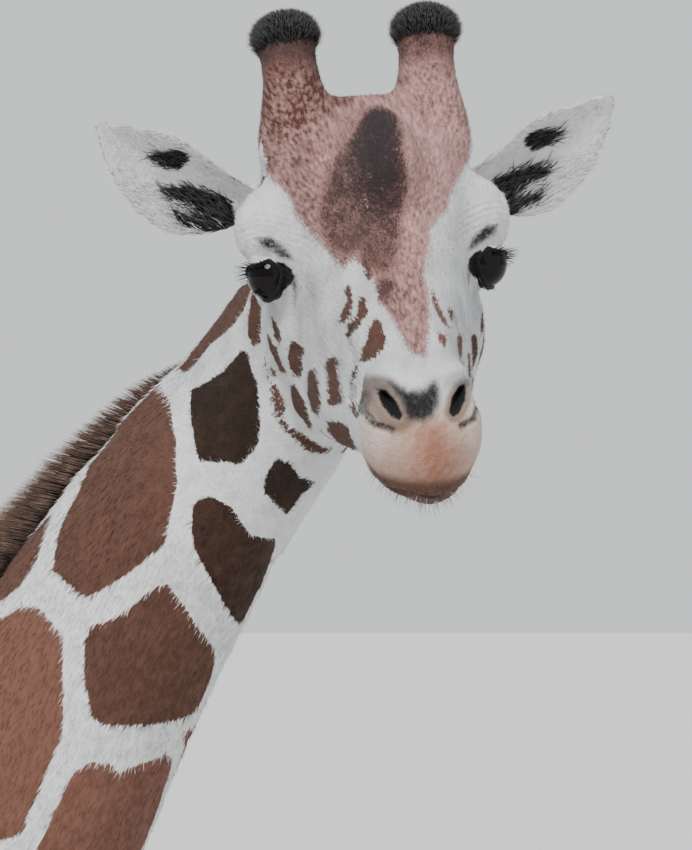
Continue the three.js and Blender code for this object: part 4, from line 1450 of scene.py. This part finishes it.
def make_tail_tuft():
    """Long black hair hanging from the tail's end, round a bed of its own shape."""
    edge = points_of(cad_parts["tail_tuft"].data)
    high, low = edge[:, 2].max(), edge[:, 2].min()
    count = 3200
    share = dice.uniform(0, 1, count) ** 1.3
    z = high - 0.02 - share * (high - low) * 0.45
    rows = np.array([edge[np.abs(edge[:, 2] - h) < 0.06].mean(0) for h in np.linspace(high, low, 24)])
    mid_x, mid_y = (np.interp(z, rows[::-1, 2], rows[::-1, i]) for i in (0, 1))
    turn = dice.uniform(0, FULL_TURN, count)
    out = np.stack([np.cos(turn), np.sin(turn), np.zeros(count)], 1)
    roots = np.stack([mid_x, mid_y, z], 1) + out * 0.012
    long = np.minimum((z - low) * 0.99, 0.36) * dice.uniform(0.75, 1.0, count)
    lies = np.stack([np.zeros(count), np.zeros(count), -np.ones(count)], 1) + out * 0.07
    lies += dice.normal(0, 0.035, (count, 3))
    patch = np.stack([turn / FULL_TURN, (z - low) / (high - low)], 1)
    grow("tail_hair", PAINTS["black"], "black_hair", roots, lies, out, long, 2.6 * MM, 0.10, -0.13, patch,
         rings=3)
    hair_bed("tail_bed", "tail_tuft", 11 * MM, PAINTS["black"], "black_hair")


class LongHair:
    """Roots, ways and sizes of long hairs, gathered from several places into one piece."""

    def __init__(self):
        self.parts = []

    def add(self, wanted, count, way, long, wide, mess, lifted):
        """Hairs where wanted, along way with a share of the skin's own normal, and messed up by mess."""
        picked = coat.pick(wanted, count)
        out = at_roots(picked, coat.normals)
        ways = at_roots(picked, np.broadcast_to(way, (len(spots), 3))) + out * lifted
        ways = ways + dice.normal(0, mess, (count, 3))
        lengths = at_roots(picked, np.broadcast_to(long, len(spots))) * dice.uniform(0.6, 1.15, count)
        self.parts.append((at_roots(picked, coat.points), ways, out, lengths, np.full(count, wide)))

    def finish(self, name, paint, slot, bend, rings=1):
        roots, ways, outs, lengths, widths = (np.concatenate(part) for part in zip(*self.parts))
        grow(name, PAINTS[paint], slot, roots, ways, outs, lengths, widths, 0.0, bend, head_unwrap(roots),
             rings=rings)


def make_dark_head_hair(facing):
    """The ossicones' black caps, and the black hair inside the ears."""
    hair = LongHair()
    for side in SIDES:
        axis = TURN @ horn_chart(spots, side)[2]
        on_top = np.clip(coat.normals @ axis, 0, 1)
        long = MM * (9.5 - 5.0 * on_top)
        hair.add(on_cap(spots, side, 86, 99), 4200, axis * 0.6, long, 1.0 * MM, 0.16, 0.62)
        out, across, _, way = ear_chart(spots, side)
        inner = on_ear(spots, side, 100, 2) & (facing[:, 0] > 0.1)
        black = np.zeros(len(spots))
        for outline in EAR_BLACK:
            black = np.maximum(black, inner * smooth_step(-2, 2, depth_in(outline, out, across)))
        hair.add(black, 700, TURN @ way, 17 * MM, 1.1 * MM, 0.25, 0.25)
    hair.finish("cap_and_ear_hair", "black", "black_hair", 0.08)


def make_pale_head_hair(facing, muzzle):
    """White hair along the edges of the ears, and a few white hairs under the chin."""
    hair = LongHair()
    for side in SIDES:
        out, across, _, way = ear_chart(spots, side)
        inner = on_ear(spots, side, 104, 6, 70) & (out < 140) & (facing[:, 0] > 0.1)
        edge = inner * smooth_step(-26, -40, across) + inner * smooth_step(12, 24, across) * 0.6
        hair.add(edge * (1 - marks["black_and_shade"]), 900, TURN @ way, 13 * MM, 0.9 * MM, 0.22, 0.22)
    chin = muzzle * (spots[:, 2] < -97) * (facing[:, 2] < -0.1)
    hair.add(chin * 1.0, 260, (0, 0, -0.7), 17 * MM, 0.6 * MM, 0.3, 1)
    hair.finish("pale_hair", "white", "pale_coat", 0.05)


def make_lashes_and_whiskers(muzzle):
    """Lashes on the upper lids, shorter ones on the lower, and whiskers on the lips."""
    hair = LongHair()
    lip = muzzle * (spots[:, 0] > 285) * (spots[:, 2] < -82)
    hair.add(lip * 1.0, 70, (0, 0, -0.9), 16 * MM, 0.4 * MM, 0.3, 1)
    for side in SIDES:
        opening, off, way, rise, turn = eye_opening(spots, side)
        rim = (off < 34) * smooth_step(-3.4, -2.0, opening) * smooth_step(0.2, -0.8, opening)
        outward = way @ TURN.T + (0, 0, -0.28)
        hair.add(rim * (rise > 4) * (turn > -60) * (turn < 35), 64, outward, 15 * MM, 0.8 * MM, 0.12, 0)
        hair.add(rim * (rise < -12), 22, outward, 6 * MM, 0.5 * MM, 0.15, 0)
    hair.finish("lashes_and_whiskers", "black", "black_hair", -0.12, rings=2)


def make_head_hair():
    facing = coat.normals @ TURN
    muzzle = (np.linalg.norm(spots, axis=1) < 390) & (spots[:, 0] > 225)
    make_dark_head_hair(facing)
    make_pale_head_hair(facing, muzzle)
    make_lashes_and_whiskers(muzzle)


HOOF_SWELL = 1.2 * MM


def make_hoof(node):
    """A claw of a hoof with its edges worn round, flat on the ground."""
    mesh = voxel_shape([node], HOOF_SWELL, FINE_VOXEL)
    relax(mesh, np.full(len(mesh.vertices), 9.0))
    worn = points_of(mesh)
    worn[:, 2] = np.maximum(worn[:, 2] * (1 + 0.04 * (worn[:, 2] < 0.03)) - HOOF_SWELL, 0)
    put_points(mesh, worn)
    add_piece(node + "_claw", mesh, PAINTS["horn"], "hoof", node)


make_short_fur()
make_mane()
make_tail_tuft()
make_head_hair()

for hoof in [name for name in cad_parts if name.startswith("hoof")]:
    make_hoof(hoof)
